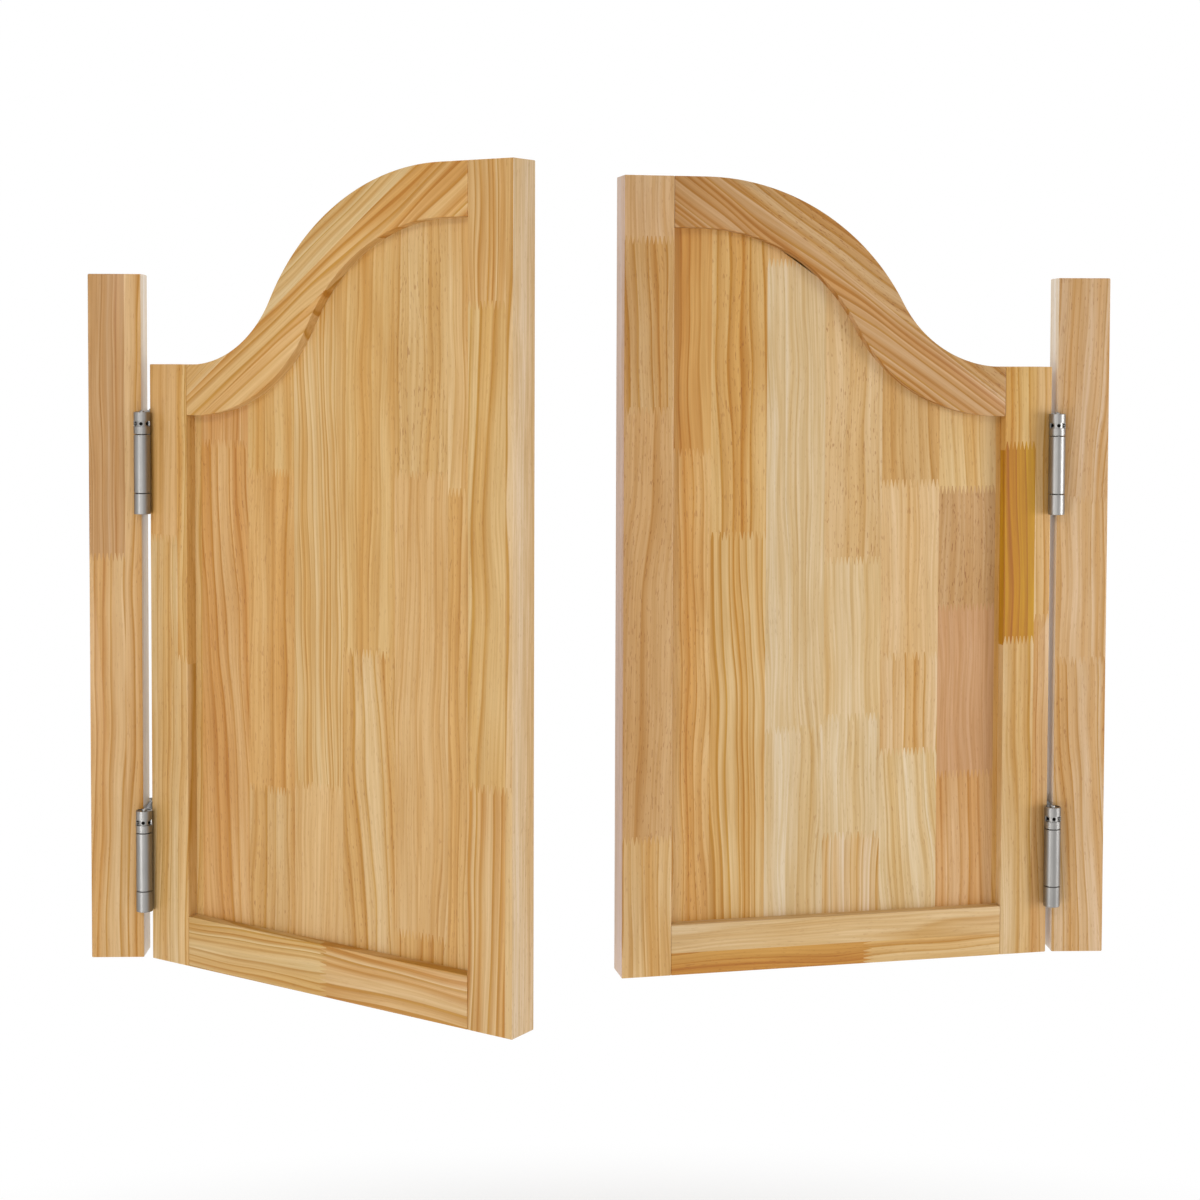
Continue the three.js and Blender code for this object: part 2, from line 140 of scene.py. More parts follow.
def finished(thing):
    """Plain mesh of an object with its modifiers carried out."""
    carried_out = thing.evaluated_get(bpy.context.evaluated_depsgraph_get())
    return bpy.data.meshes.new_from_object(carried_out)


def show(name, mesh, place, material, body, nodes):
    """Puts a finished mesh where it belongs, on its body and in place of its CAD nodes."""
    mesh.transform(place)
    if place.determinant() < 0:
        mesh.flip_normals()
    mesh.materials.clear()
    mesh.materials.append(material)
    piece = add(name, mesh)
    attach(piece, body)
    if nodes:
        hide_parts(*nodes)


def finger_joint(start, end, height):
    """Corners of a finger joint from one edge of a strip to the other."""
    count = max(1, round((end - start) / FINGER_PITCH))
    pitch = (end - start) / count
    low, high = height - FINGER_LENGTH / 2, height + FINGER_LENGTH / 2
    slope = pitch * (1 - FINGER_TIP) / 2
    corners = []
    for i in range(count):
        at = start + i * pitch
        corners += [(at, low), (at + slope, high), (at + pitch - slope, high)]
    return corners + [(end, low)]


def strip(start, end, foot, head, lengths):
    """One glued strip: lengths from its foot up, each as tint, sawing and the joint above it."""
    lower = [(start, foot), (end, foot)]
    blocks = []
    for tint, sawing, joint in lengths:
        upper = finger_joint(start, end, joint * MM) if joint else head
        blocks.append((lower + upper[::-1], tint, sawing))
        lower = upper
    return blocks


def counter_clockwise(corners):
    ends = corners[1:] + corners[:1]
    area = sum(a[0] * b[1] - b[0] * a[1] for a, b in zip(corners, ends))
    return corners if area > 0 else corners[::-1]


def meet(outlines):
    """Gives each outline the corners of its neighbours that lie along its edges."""
    corners = np.array(sorted({corner for outline in outlines for corner in outline}))
    met = []
    for outline in outlines:
        walk = []
        for start, end in zip(outline, outline[1:] + outline[:1]):
            run = np.subtract(end, start)
            reach = corners - start
            along = reach @ run / (run @ run)
            aside = np.abs(reach[:, 0] * run[1] - reach[:, 1] * run[0]) / np.hypot(*run)
            between = (aside < ON_EDGE) & (along > OFF_CORNER) & (along < 1 - OFF_CORNER)
            order = np.argsort(along[between])
            walk += [start] + [tuple(corner) for corner in corners[between][order]]
        met.append(walk)
    return met


def growth(corners, sawing, grain):
    """Where a block grew in its tree: pith and ring width, lean and ring strength, and flecks."""

    def vary(value):
        return value * chance.uniform(1 - SAWING_SPREAD, 1 + SAWING_SPREAD)

    aside, behind, ring, lean_aside, lean_through, strength, flecks = SAWINGS[sawing]
    middle = np.mean(corners, axis=0)
    across = middle[0] * math.sin(grain) - middle[1] * math.cos(grain)
    along = middle[0] * math.cos(grain) + middle[1] * math.sin(grain)
    aside = vary(aside * MM) * chance.choice((-1, 1))
    behind = vary(behind * MM) * chance.choice((-1, 1))
    lean_aside = vary(lean_aside)
    lean_through = vary(lean_through) * chance.choice((-1, 1))
    pith = (across + aside - lean_aside * along, behind - lean_through * along, vary(ring * MM))
    return pith, (lean_aside, lean_through, vary(strength)), vary(flecks)


def board(name, blocks, thickness, grain, ease):
    """Glued-up board: flat blocks made as thick as the wood, with their growth and colour."""
    outlines = [
        [(round(x, DECIMALS), round(z, DECIMALS)) for x, z in counter_clockwise(corners)]
        for corners, *_ in blocks
    ]
    flat = bmesh.new()
    pith_layer = flat.faces.layers.float_vector.new("pith")
    lean_layer = flat.faces.layers.float_vector.new("lean")
    tint_layer = flat.faces.layers.float_vector.new("tint")
    flecks_layer = flat.faces.layers.float.new("flecks")
    points = {}
    for outline, (corners, tint, sawing) in zip(meet(outlines), blocks):
        for x, z in outline:
            if (x, z) not in points:
                points[x, z] = flat.verts.new((x, 0, z))
        face = flat.faces.new([points[corner] for corner in outline])
        face[pith_layer], face[lean_layer], face[flecks_layer] = growth(corners, sawing, grain)
        face[tint_layer] = [
            value * chance.uniform(1 - TINT_SPREAD, 1 + TINT_SPREAD) for value in TINTS[tint]
        ]
    sheet = bpy.data.meshes.new(name)
    flat.to_mesh(sheet)
    flat.free()

    blank = add(name, sheet)
    solidify = blank.modifiers.new("thickness", "SOLIDIFY")
    solidify.thickness = thickness
    solidify.offset = 0
    if ease:
        bevel = blank.modifiers.new("eased edges", "BEVEL")
        bevel.width = ease
        bevel.segments = 2
        bevel.limit_method = "ANGLE"
        bevel.angle_limit = EASED_ANGLE
        bevel.use_clamp_overlap = False
    mesh = finished(blank)
    bpy.data.objects.remove(blank)
    bpy.data.meshes.remove(sheet)

    mesh.shade_smooth()
    mesh.set_sharp_from_angle(angle=WOOD_CREASE)
    grown = mesh.attributes.new("grain", "FLOAT_VECTOR", "POINT")
    for point, value in zip(mesh.vertices, grown.data):
        x, y, z = point.co
        along = x * math.cos(grain) + z * math.sin(grain)
        across = x * math.sin(grain) - z * math.cos(grain)
        value.vector = (across, y, along)
    return mesh


def put(tree, kind, *inputs, **settings):
    """Adds a node: sockets are linked to its inputs in order, numbers are set and None is left."""
    node = tree.nodes.new(kind)
    for name, value in settings.items():
        setattr(node, name, value)
    for socket, value in zip(node.inputs, inputs):
        if isinstance(value, bpy.types.NodeSocket):
            tree.links.new(value, socket)
        elif value is not None:
            socket.default_value = value
    return node


def figure(tree, operation, *inputs):
    return put(tree, "ShaderNodeMath", *inputs, operation=operation).outputs[0]


def vector(tree, operation, *inputs):
    return put(tree, "ShaderNodeVectorMath", *inputs, operation=operation).outputs[0]


def noise(tree, place, stretch, detail):
    """Noise drawn out by a different amount each way."""
    stretched = vector(tree, "MULTIPLY", place, stretch)
    return put(tree, "ShaderNodeTexNoise", stretched, None, 1.0, detail)


def ramp(tree, value, stops):
    """Grey ramp through (position, level) stops."""
    node = put(tree, "ShaderNodeValToRGB", value)
    elements = node.color_ramp.elements
    while len(elements) < len(stops):
        elements.new(0.5)
    for element, (position, level) in zip(elements, stops):
        element.position = position
        element.color = (level, level, level, 1)
    return node.outputs[0]


def uneven(tree, value, depth):
    """Turns noise into a factor that varies about one."""
    return figure(tree, "MULTIPLY_ADD", value, depth, 1 - depth / 2)


def scaled(tree, colour, amount):
    """Makes a colour lighter or darker."""
    return vector(tree, "SCALE", colour, None, None, amount)


def blend(tree, amount, one, two):
    """Mixes two colours."""
    mix = put(tree, "ShaderNodeMix", amount, None, None, None, one, two, data_type="VECTOR")
    return mix.outputs[1]


def sockets(tree, way, kind, *names):
    """Gives a node group named inputs or outputs of one kind."""
    for name in names:
        tree.interface.new_socket(name, in_out=way, socket_type=f"NodeSocket{kind}")


# Growth rings round a leaning pith, in redder and yellower years, with fibres and resin ducts.
# Bends, fibres, clouds and ducts come so many to the metre across, through and along the grain.
LATE_WOOD = (0.75, 0.565, 0.18)
RED_YEARS = (0.96, 0.87, 0.68)
YELLOW_YEARS = (1.035, 1.115, 1.34)
RESIN = (0.60, 0.42, 0.27)
PALE_FIBRES = (1.06, 1.09, 1.18)
DARK_FIBRES = (0.93, 0.88, 0.77)
BENDS = (26, 26, 6)
BEND_REACH = (16 * MM, 6 * MM, 0)
FIBRES = (1300, 1300, 16)
FIBRE_BUNDLES = (420, 420, 7)
CLOUDS = (30, 30, 6)
DUCTS = (880, 880, 120)
SEASON = [(0, 0.25), (0.06, 0.0), (0.35, 0.1), (0.68, 0.42), (0.92, 1.0), (1, 0.25)]
BUNDLE_EDGES = [(0.38, 0.0), (0.62, 1.0)]
DUCT_EDGES = [(0.66, 0.0), (0.71, 1.0)]
BAND_EDGES = [(0.34, 0.0), (0.66, 1.0)]
YEAR_CHANGES = 0.45
YEAR_SPREAD = 2.4
WEAKEST_YEAR = 0.25
BAND_CHANGES = 0.55
BAND_PATCHES = 0.6
BAND_STRENGTH = 0.8
EXTRA_DUCTS = 0.03
DUCTS_LOST = 0.4
WOOD_SHADE = 0.16
WOOD_DULLNESS = 0.37
FIBRE_DULLNESS = 0.14
RING_RELIEF = 0.2
FIBRE_RELIEF = 0.4

pine = bpy.data.node_groups.new("pine growth", "ShaderNodeTree")
sockets(pine, "INPUT", "Vector", "Grain", "Pith", "Lean", "Tint")
sockets(pine, "INPUT", "Float", "Flecks")
sockets(pine, "OUTPUT", "Color", "Colour")
sockets(pine, "OUTPUT", "Float", "Roughness", "Height")
grown = put(pine, "NodeGroupInput").outputs
bend = noise(pine, grown["Grain"], BENDS, 1.0).outputs["Color"]
bend = vector(pine, "SUBTRACT", bend, (0.5, 0.5, 0.5))
bent = vector(pine, "MULTIPLY_ADD", bend, BEND_REACH, grown["Grain"])
across, through, along = put(pine, "ShaderNodeSeparateXYZ", bent).outputs
pith_across, pith_through, ring_width = put(pine, "ShaderNodeSeparateXYZ", grown["Pith"]).outputs
lean_across, lean_through, ring_strength = put(pine, "ShaderNodeSeparateXYZ", grown["Lean"]).outputs
pith_x = figure(pine, "MULTIPLY_ADD", lean_across, along, pith_across)
pith_y = figure(pine, "MULTIPLY_ADD", lean_through, along, pith_through)
pith = put(pine, "ShaderNodeCombineXYZ", pith_x, pith_y).outputs[0]
spot = put(pine, "ShaderNodeCombineXYZ", across, through).outputs[0]
from_pith = put(pine, "ShaderNodeVectorMath", spot, pith, operation="DISTANCE").outputs["Value"]
years = figure(pine, "DIVIDE", from_pith, ring_width)
change = put(pine, "ShaderNodeTexNoise", None, years, YEAR_CHANGES, 1.0, noise_dimensions="1D")
years = figure(pine, "MULTIPLY_ADD", change.outputs[0], YEAR_SPREAD, years)
late = ramp(pine, figure(pine, "FRACT", years), SEASON)
year = figure(pine, "FLOOR", years)
vigour = put(pine, "ShaderNodeTexWhiteNoise", None, year, noise_dimensions="1D").outputs["Value"]
vigour = figure(pine, "MULTIPLY_ADD", vigour, 1 - WEAKEST_YEAR, WEAKEST_YEAR)
strength = figure(pine, "MULTIPLY", figure(pine, "MULTIPLY", late, ring_strength), vigour)
from_middle = figure(pine, "SUBTRACT", across, pith_x)
stem = put(pine, "ShaderNodeCombineXYZ", from_middle, through, along).outputs[0]
fibre = noise(pine, stem, FIBRES, 2.0).outputs[0]
bundle = ramp(pine, noise(pine, stem, FIBRE_BUNDLES, 3.0).outputs[0], BUNDLE_EDGES)
cloud = noise(pine, grown["Grain"], CLOUDS, 2.0).outputs[0]
band = put(pine, "ShaderNodeTexNoise", None, years, BAND_CHANGES, 1.0, noise_dimensions="1D")
patch = figure(pine, "MULTIPLY_ADD", cloud, BAND_PATCHES, -BAND_PATCHES / 2)
band = ramp(pine, figure(pine, "ADD", band.outputs[0], patch), BAND_EDGES)
clear = figure(pine, "MINIMUM", figure(pine, "MULTIPLY", ring_strength, BAND_STRENGTH), 1.0)
band = figure(pine, "MULTIPLY", figure(pine, "SUBTRACT", band, 0.5), clear)
band = figure(pine, "ADD", band, 0.5)
ducts = noise(pine, stem, DUCTS, 1.0).outputs[0]
ducts = ramp(pine, figure(pine, "MULTIPLY_ADD", grown["Flecks"], EXTRA_DUCTS, ducts), DUCT_EDGES)
ducts = figure(pine, "MULTIPLY", ducts, grown["Flecks"])
ducts = figure(pine, "MULTIPLY", ducts, figure(pine, "MULTIPLY_ADD", band, -DUCTS_LOST, 1.0))
wood = blend(pine, strength, (1, 1, 1), LATE_WOOD)
wood = vector(pine, "MULTIPLY", wood, blend(pine, band, RED_YEARS, YELLOW_YEARS))
wood = vector(pine, "MULTIPLY", wood, grown["Tint"])
wood = vector(pine, "MULTIPLY", wood, blend(pine, bundle, PALE_FIBRES, DARK_FIBRES))
shade = figure(pine, "MULTIPLY", uneven(pine, fibre, WOOD_SHADE), uneven(pine, cloud, WOOD_SHADE))
wood = scaled(pine, wood, shade)
wood = blend(pine, ducts, wood, vector(pine, "MULTIPLY", wood, RESIN))
dullness = figure(pine, "MULTIPLY_ADD", fibre, FIBRE_DULLNESS, WOOD_DULLNESS)
relief = figure(pine, "MULTIPLY", fibre, FIBRE_RELIEF)
relief = figure(pine, "MULTIPLY_ADD", strength, RING_RELIEF, relief)
put(pine, "NodeGroupOutput", wood, dullness, relief)

# Lacquer: how strongly and how deep the grain stands out, and its gloss
GRAIN_BUMP = (0.12, 0.3 * MM)
LACQUER = {"Specular IOR Level": 0.4, "Coat Weight": 0.12, "Coat Roughness": 0.25}


def new_material(name):
    """Material with its node tree and its shader."""
    material = bpy.data.materials.new(name)
    material.use_nodes = True
    return material, material.node_tree, material.node_tree.nodes["Principled BSDF"]


def dress(tree, shader, pattern, colour, bump):
    """Feeds a pattern's colour, roughness and relief to a shader."""
    relief = put(tree, "ShaderNodeBump", *bump)
    tree.links.new(pattern.outputs["Height"], relief.inputs["Height"])
    tree.links.new(colour, shader.inputs["Base Color"])
    tree.links.new(pattern.outputs["Roughness"], shader.inputs["Roughness"])
    tree.links.new(relief.outputs[0], shader.inputs["Normal"])


def lacquered_pine(name):
    """Pine that reads its blocks' growth and colour, under a thin coat of lacquer."""
    material, tree, shader = new_material(name)
    rings = put(tree, "ShaderNodeGroup", node_tree=pine)
    for socket in ("Grain", "Pith", "Lean", "Tint"):
        read = put(tree, "ShaderNodeAttribute", attribute_name=socket.lower())
        tree.links.new(read.outputs["Vector"], rings.inputs[socket])
    flecks = put(tree, "ShaderNodeAttribute", attribute_name="flecks")
    tree.links.new(flecks.outputs["Fac"], rings.inputs["Flecks"])
    dress(tree, shader, rings, rings.outputs["Colour"], GRAIN_BUMP)
    for socket, value in LACQUER.items():
        shader.inputs[socket].default_value = value
    return material


batten_pine = lacquered_pine("batten_pine")
batten_width = batten_high.x - batten_low.x
batten_height = batten_high.z - batten_low.z
thickness = batten_high.y - batten_low.y

# Strips from the outer edge on: where each ends, then its lengths from the foot up.
# The last strip and the last length run to the far edge and have no end of their own.
BATTEN_STRIPS = {
    "left": [
        (36, [("tan", "straight", 406), ("russet", "lined", None)]),
        (None, [("tan", "striped", None)]),
    ],
    "right": [
        (None, [("sand", "slanted", 300), ("sand", "flecked", 464), ("sand", "leaning", None)]),
    ],
}
# Painted light: the inner edges face into the narrow hinge gap and lie in its shade, and this pale
# tint makes them read bright.
INNER_EDGE_PAINTED_LIGHT = (0.78, 0.66, 0.50)
EDGE_PITH = (15 * MM, 85 * MM, 9 * MM)
EDGE_LEAN = (0, 0.02, 0.6)
EDGE_FACING = 0.9


def strips(start, far_edge, foot, head_of, rows):
    """Strips side by side from start to the far edge, under a head that is given for each."""
    blocks = []
    for end, lengths in rows:
        end = end * MM if end else far_edge
        blocks += strip(start, end, foot, head_of(start, end), lengths)
        start = end
    return blocks


def level_head(height):
    return lambda start, end: [(start, height), (end, height)]


def painted_light_edge(mesh, tint):
    """Painted light: a paler tint on the edge that faces the doorway's middle, so it reads as
    brightly lit, with its rings seen edge on.
    """
    layers = [mesh.attributes[name].data for name in ("tint", "pith", "lean")]
    for face in mesh.polygons:
        if face.normal.x > EDGE_FACING:
            pith = (face.center.x + EDGE_PITH[0], *EDGE_PITH[1:])
            for layer, value in zip(layers, (tint, pith, EDGE_LEAN)):
                layer[face.index].vector = value


for side in SIDES:
    blocks = strips(0, batten_width, 0, level_head(batten_height), BATTEN_STRIPS[side])
    mesh = board(f"{side}_batten_wood", blocks, thickness, UPRIGHT, BATTEN_EASE)
    painted_light_edge(mesh, INNER_EDGE_PAINTED_LIGHT)
    place = fixed[side] @ Matrix.Translation((-half_gap - batten_width, 0, 0))
    show(f"{side}_batten_wood", mesh, place, batten_pine, "root", [f"{side}_batten"])

# Hinge webs
# Middle plate of each double-action hinge, rolled into the top and bottom knuckles of both barrels.
# Pressed from satin steel sheet, with a slot in each top knuckle that shows the tension collar.
LEVELS = ("lower", "upper")
PLATE_THICKNESS = 1 * MM
BARREL_WALL = 1.5 * MM
BARREL_SIDES = 64
RIM_EASE = 0.3 * MM
PLATE_EASE = 0.2 * MM
TOP_KNUCKLE_HEIGHT = 22 * MM
BOTTOM_KNUCKLE_HEIGHT = 20.5 * MM
WEB_NOTCH_CLEARANCE = 1 * MM
SLOT_ARC = math.radians(150)
SLOT_HEIGHT = 5.5 * MM
SLOT_BELOW_TOP = 9 * MM
CUT_OVERRUN = 1 * MM
STEEL_CREASE = math.radians(32)
STEEL_TONE = (0.285, 0.277, 0.266)
STEEL_DULLNESS = 0.38
STEEL_BUMP = (0.05, 0.05 * MM)

axis_reach = abs(front_axis.y)
hinge_foot = {level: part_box(f"left_{level}_web")[0].z for level in LEVELS}
web_low, web_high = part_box("left_lower_web")
hinge_top = web_high.z - web_low.z
barrel_radius = (web_high.x - web_low.x) / 2
bore_radius = barrel_radius - BARREL_WALL
top_knuckle_low = hinge_top - TOP_KNUCKLE_HEIGHT
slot_high = hinge_top - SLOT_BELOW_TOP
half_turn = Matrix.Rotation(math.pi, 4, "Z")


def solid(shape, name):
    """Closes a bmesh into a mesh with its faces turned outwards."""
    bmesh.ops.recalc_face_normals(shape, faces=shape.faces[:])
    mesh = bpy.data.meshes.new(name)
    shape.to_mesh(mesh)
    shape.free()
    return mesh


def turned(outline, sides):
    """Solid turned about the upright axis from an outline of (radius, height) corners."""
    shape = bmesh.new()
    rings = []
    for radius, height in outline:
        count = sides if radius else 1
        turns = [2 * math.pi * i / count for i in range(count)]
        corners = [(radius * math.cos(turn), radius * math.sin(turn), height) for turn in turns]
        rings.append([shape.verts.new(corner) for corner in corners])
    for one, two in zip(rings, rings[1:] + rings[:1]):
        for i in range(sides):
            j = i + 1
            corners = [one[i % len(one)], one[j % len(one)], two[j % len(two)], two[i % len(two)]]
            corners = list(dict.fromkeys(corners))
            if len(corners) > 2:
                shape.faces.new(corners)
    return solid(shape, "turned")


def tube(outer, inner, low, high, ease):
    """Short tube with eased rims."""
    outline = [(inner, low), (outer - ease, low), (outer, low + ease)]
    outline += [(outer, high - ease), (outer - ease, high), (inner, high)]
    return turned(outline, BARREL_SIDES)


def slab(low, high, ease):
    """Plate between two corners with eased edges."""
    shape = bmesh.new()
    bmesh.ops.create_cube(shape, size=1)
    size = Vector(high) - Vector(low)
    middle = (Vector(high) + Vector(low)) / 2
    spread = Matrix.Translation(middle) @ Matrix.Diagonal((*size, 1))
    bmesh.ops.transform(shape, matrix=spread, verts=shape.verts[:])
    bmesh.ops.bevel(
        shape, geom=shape.edges[:], offset=ease, segments=1, affect="EDGES", profile=0.5
    )
    return solid(shape, "slab")


def sector(inner, outer, low, high, arc):
    """Curved block about the upright axis, facing the viewer."""
    shape = bmesh.new()
    slices = []
    for i in range(BARREL_SIDES + 1):
        turn = arc * (i / BARREL_SIDES - 0.5) - math.pi / 2
        outline = [(inner, low), (outer, low), (outer, high), (inner, high)]
        corners = [(radius * math.cos(turn), radius * math.sin(turn), z) for radius, z in outline]
        slices.append([shape.verts.new(corner) for corner in corners])
    for one, two in zip(slices, slices[1:]):
        for i in range(4):
            shape.faces.new([one[i - 1], one[i], two[i], two[i - 1]])
    shape.faces.new(slices[0])
    shape.faces.new(slices[-1])
    return solid(shape, "sector")


def shaped(operation, base, *tools):
    """Joins solids to a base, or cuts them out of it."""
    blank = add("blank", base)
    bench = [blank]
    for mesh in tools:
        tool = add("tool", mesh)
        bench.append(tool)
        step = blank.modifiers.new("step", "BOOLEAN")
        step.operation = operation
        step.solver = "EXACT"
        step.object = tool
    mesh = finished(blank)
    for item in bench:
        bpy.data.objects.remove(item)
    return mesh


def moved(mesh, place):
    """Copy of a mesh at a place."""
    copy = mesh.copy()
    copy.transform(place)
    if place.determinant() < 0:
        copy.flip_normals()
    return copy


def rounded(mesh):
    """Shades round faces smooth and keeps corners sharp."""
    mesh.shade_smooth()
    mesh.set_sharp_from_angle(angle=STEEL_CREASE)
    return mesh


def show_steel(node, mesh, place, body, material):
    """Shows a copy of a steel piece in place of its CAD node."""
    show(f"{node}_steel", rounded(mesh.copy()), place, material, body, [node])


def each_hinge():
    """Side and level of each hinge, with the place of its foot."""
    for side in SIDES:
        for level in LEVELS:
            yield side, level, Matrix.Translation((0, 0, hinge_foot[level]))


# Satin steel: fine lines round the barrels and a little haze, so many to the metre each way
BRUSH_LINES = (150, 150, 4500)
HAZE = (110, 110, 40)
LINE_SHADE = 0.14
HAZE_SHADE = 0.30
GLOSS_SPREAD = 0.14

satin = bpy.data.node_groups.new("satin brushing", "ShaderNodeTree")
sockets(satin, "INPUT", "Vector", "Place")
sockets(satin, "INPUT", "Color", "Tone")
sockets(satin, "INPUT", "Float", "Dullness")
sockets(satin, "OUTPUT", "Color", "Colour")
sockets(satin, "OUTPUT", "Float", "Roughness", "Height")
rubbed = put(satin, "NodeGroupInput").outputs
lines = noise(satin, rubbed["Place"], BRUSH_LINES, 2.0).outputs[0]
haze = noise(satin, rubbed["Place"], HAZE, 3.0).outputs[0]
shade = figure(satin, "MULTIPLY", uneven(satin, lines, LINE_SHADE), uneven(satin, haze, HAZE_SHADE))
tone = scaled(satin, rubbed["Tone"], shade)
gloss = figure(satin, "ADD", lines, haze)
gloss = figure(satin, "MULTIPLY_ADD", gloss, GLOSS_SPREAD, -GLOSS_SPREAD)
gloss = figure(satin, "ADD", rubbed["Dullness"], gloss)
put(satin, "NodeGroupOutput", tone, gloss, lines)


def satin_steel(name, tone, dullness):
    """Brushed steel of a given tone, with painted shade that darkens it towards black where the
    mesh is marked for shade.
    """
    material, tree, shader = new_material(name)
    place = put(tree, "ShaderNodeTexCoord").outputs["Object"]
    brushing = put(tree, "ShaderNodeGroup", place, (*tone, 1), dullness, node_tree=satin)
    # Marked places get painted shade: their colour is scaled towards black.
    hole_shade = put(tree, "ShaderNodeAttribute", attribute_name="hole_shade").outputs["Fac"]
    unshaded = figure(tree, "SUBTRACT", 1.0, hole_shade)
    dress(tree, shader, brushing, scaled(tree, brushing.outputs["Colour"], unshaded), STEEL_BUMP)
    shader.inputs["Metallic"].default_value = 1.0
    return material


hinge_steel = satin_steel("hinge_steel", STEEL_TONE, STEEL_DULLNESS)
half_plate = PLATE_THICKNESS / 2
waist = axis_reach - barrel_radius - WEB_NOTCH_CLEARANCE
neck_end = axis_reach - bore_radius - BARREL_WALL / 2
web_mesh = slab((-half_plate, -waist, 0), (half_plate, waist, hinge_top), PLATE_EASE)
web_joined = []
web_cuts = []
for end in (-1, 1):
    barrel = Matrix.Translation((0, end * axis_reach, 0))
    for low, high in ((0, BOTTOM_KNUCKLE_HEIGHT), (top_knuckle_low, hinge_top)):
        near, far = sorted((end * (waist - CUT_OVERRUN), end * neck_end))
        web_joined.append(slab((-half_plate, near, low), (half_plate, far, high), PLATE_EASE))
        web_joined.append(moved(tube(barrel_radius, bore_radius, low, high, RIM_EASE), barrel))
    inside, outside = bore_radius - CUT_OVERRUN, barrel_radius + CUT_OVERRUN
    window = sector(inside, outside, slot_high - SLOT_HEIGHT, slot_high, SLOT_ARC)
    web_cuts.append(moved(window, barrel if end < 0 else barrel @ half_turn))
web_mesh = shaped("DIFFERENCE", shaped("UNION", web_mesh, *web_joined), *web_cuts)
for side, level, foot in each_hinge():
    node = f"{side}_{level}_web"
    show_steel(node, web_mesh, fixed[side] @ foot, f"{side}_web", hinge_steel)

# Spindles
# Steel pin up the middle of each barrel, plugged into the bottom knuckle and riveted at the top.
# It turns with the web and keeps the knuckles in line.
FACES = ("front", "back")
SPINDLE_DIAMETER = 4.8 * MM
SPINDLE_PROUD = 1.8 * MM
BORE_CLEARANCE = 0.3 * MM
END_RECESS = 0.8 * MM
DOME_STEPS = 6

fill_radius = bore_radius - BORE_CLEARANCE
plug_high = BOTTOM_KNUCKLE_HEIGHT - END_RECESS
spindle_radius = SPINDLE_DIAMETER / 2


def dome(radius, base, rise):
    """Outline of a low rounded end, from its edge to the axis."""
    turns = [math.pi / 2 * i / DOME_STEPS for i in range(DOME_STEPS)]
    rim = [(radius * math.cos(turn), base + rise * math.sin(turn)) for turn in turns]
    return rim + [(0, base + rise)]


spindle_outline = [(0, END_RECESS), (fill_radius - RIM_EASE, END_RECESS)]
spindle_outline += [(fill_radius, END_RECESS + RIM_EASE), (fill_radius, plug_high)]
spindle_outline += [(spindle_radius, plug_high)]
spindle_outline += dome(spindle_radius, hinge_top + SPINDLE_PROUD / 2, SPINDLE_PROUD / 2)
spindle_mesh = turned(spindle_outline, BARREL_SIDES)
axis_place = {"front": Matrix.Translation((0, -axis_reach, 0))}
axis_place["back"] = Matrix.Translation((0, axis_reach, 0)) @ half_turn
for side, level, foot in each_hinge():
    for face in FACES:
        node = f"{side}_{level}_{face}_spindle"
        place = fixed[side] @ foot @ axis_place[face]
        show_steel(node, spindle_mesh, place, f"{side}_web", hinge_steel)

# Tension collars and pins
# Thick ring in the head of each barrel that winds its spring, with holes round it for a pin.
# The pin stands in one hole and stops the collar against an end of the slot.
COLLAR_HOLES = 6
COLLAR_HOLE_DIAMETER = 3.6 * MM
COLLAR_HOLE_DEPTH = 2.4 * MM
PIN_DIAMETER = 3 * MM
PIN_PROUD = 0.3 * MM
PIN_CLEARANCE = 0.3 * MM
HOLE_SIDES = 32
# Painted shade: how nearly black the collar goes inside, round its holes.
HOLE_SHADE = 0.97
OILED_TONE = (0.16, 0.155, 0.145)
OILED_DULLNESS = 0.42

collar_low = top_knuckle_low + END_RECESS
collar_high = hinge_top - END_RECESS
slot_middle = slot_high - SLOT_HEIGHT / 2
pin_turn = math.asin((PIN_DIAMETER / 2 + PIN_CLEARANCE) / bore_radius) - SLOT_ARC / 2
hole_foot = fill_radius - COLLAR_HOLE_DEPTH


def outwards(turn):
    """Turns an upright thing to point out from the barrel, at an angle from the viewer's side."""
    lift = Matrix.Translation((0, 0, slot_middle))
    return lift @ Matrix.Rotation(turn, 4, "Z") @ Matrix.Rotation(QUARTER_TURN, 4, "X")


hole_radius = COLLAR_HOLE_DIAMETER / 2
hole_head = barrel_radius + CUT_OVERRUN
drill_outline = [(0, hole_foot), (hole_radius, hole_foot), (hole_radius, hole_head), (0, hole_head)]
drill = turned(drill_outline, HOLE_SIDES)
hole_turns = [pin_turn + 2 * math.pi * i / COLLAR_HOLES for i in range(COLLAR_HOLES)]
drills = [moved(drill, outwards(turn)) for turn in hole_turns]
collar_mesh = tube(fill_radius, spindle_radius + BORE_CLEARANCE, collar_low, collar_high, RIM_EASE)
collar_mesh = shaped("DIFFERENCE", collar_mesh, *drills)
# Painted shade: the collar's inside next to the holes is marked, to be darkened where the holes are
# really dark with shade.
hole_shade = collar_mesh.attributes.new("hole_shade", "FLOAT", "POINT")
for point, value in zip(collar_mesh.vertices, hole_shade.data):
    deep = math.hypot(point.co.x, point.co.y) < fill_radius - RIM_EASE * 2
    value.value = HOLE_SHADE if deep and abs(point.co.z - slot_middle) < hole_radius + RIM_EASE else 0.0

pin_radius = PIN_DIAMETER / 2
pin_foot = hole_foot + PIN_CLEARANCE
pin_outline = [(0, pin_foot), (pin_radius, pin_foot)]
pin_outline += dome(pin_radius, barrel_radius - PIN_PROUD, 2 * PIN_PROUD)
pin_mesh = moved(turned(pin_outline, HOLE_SIDES), outwards(pin_turn))

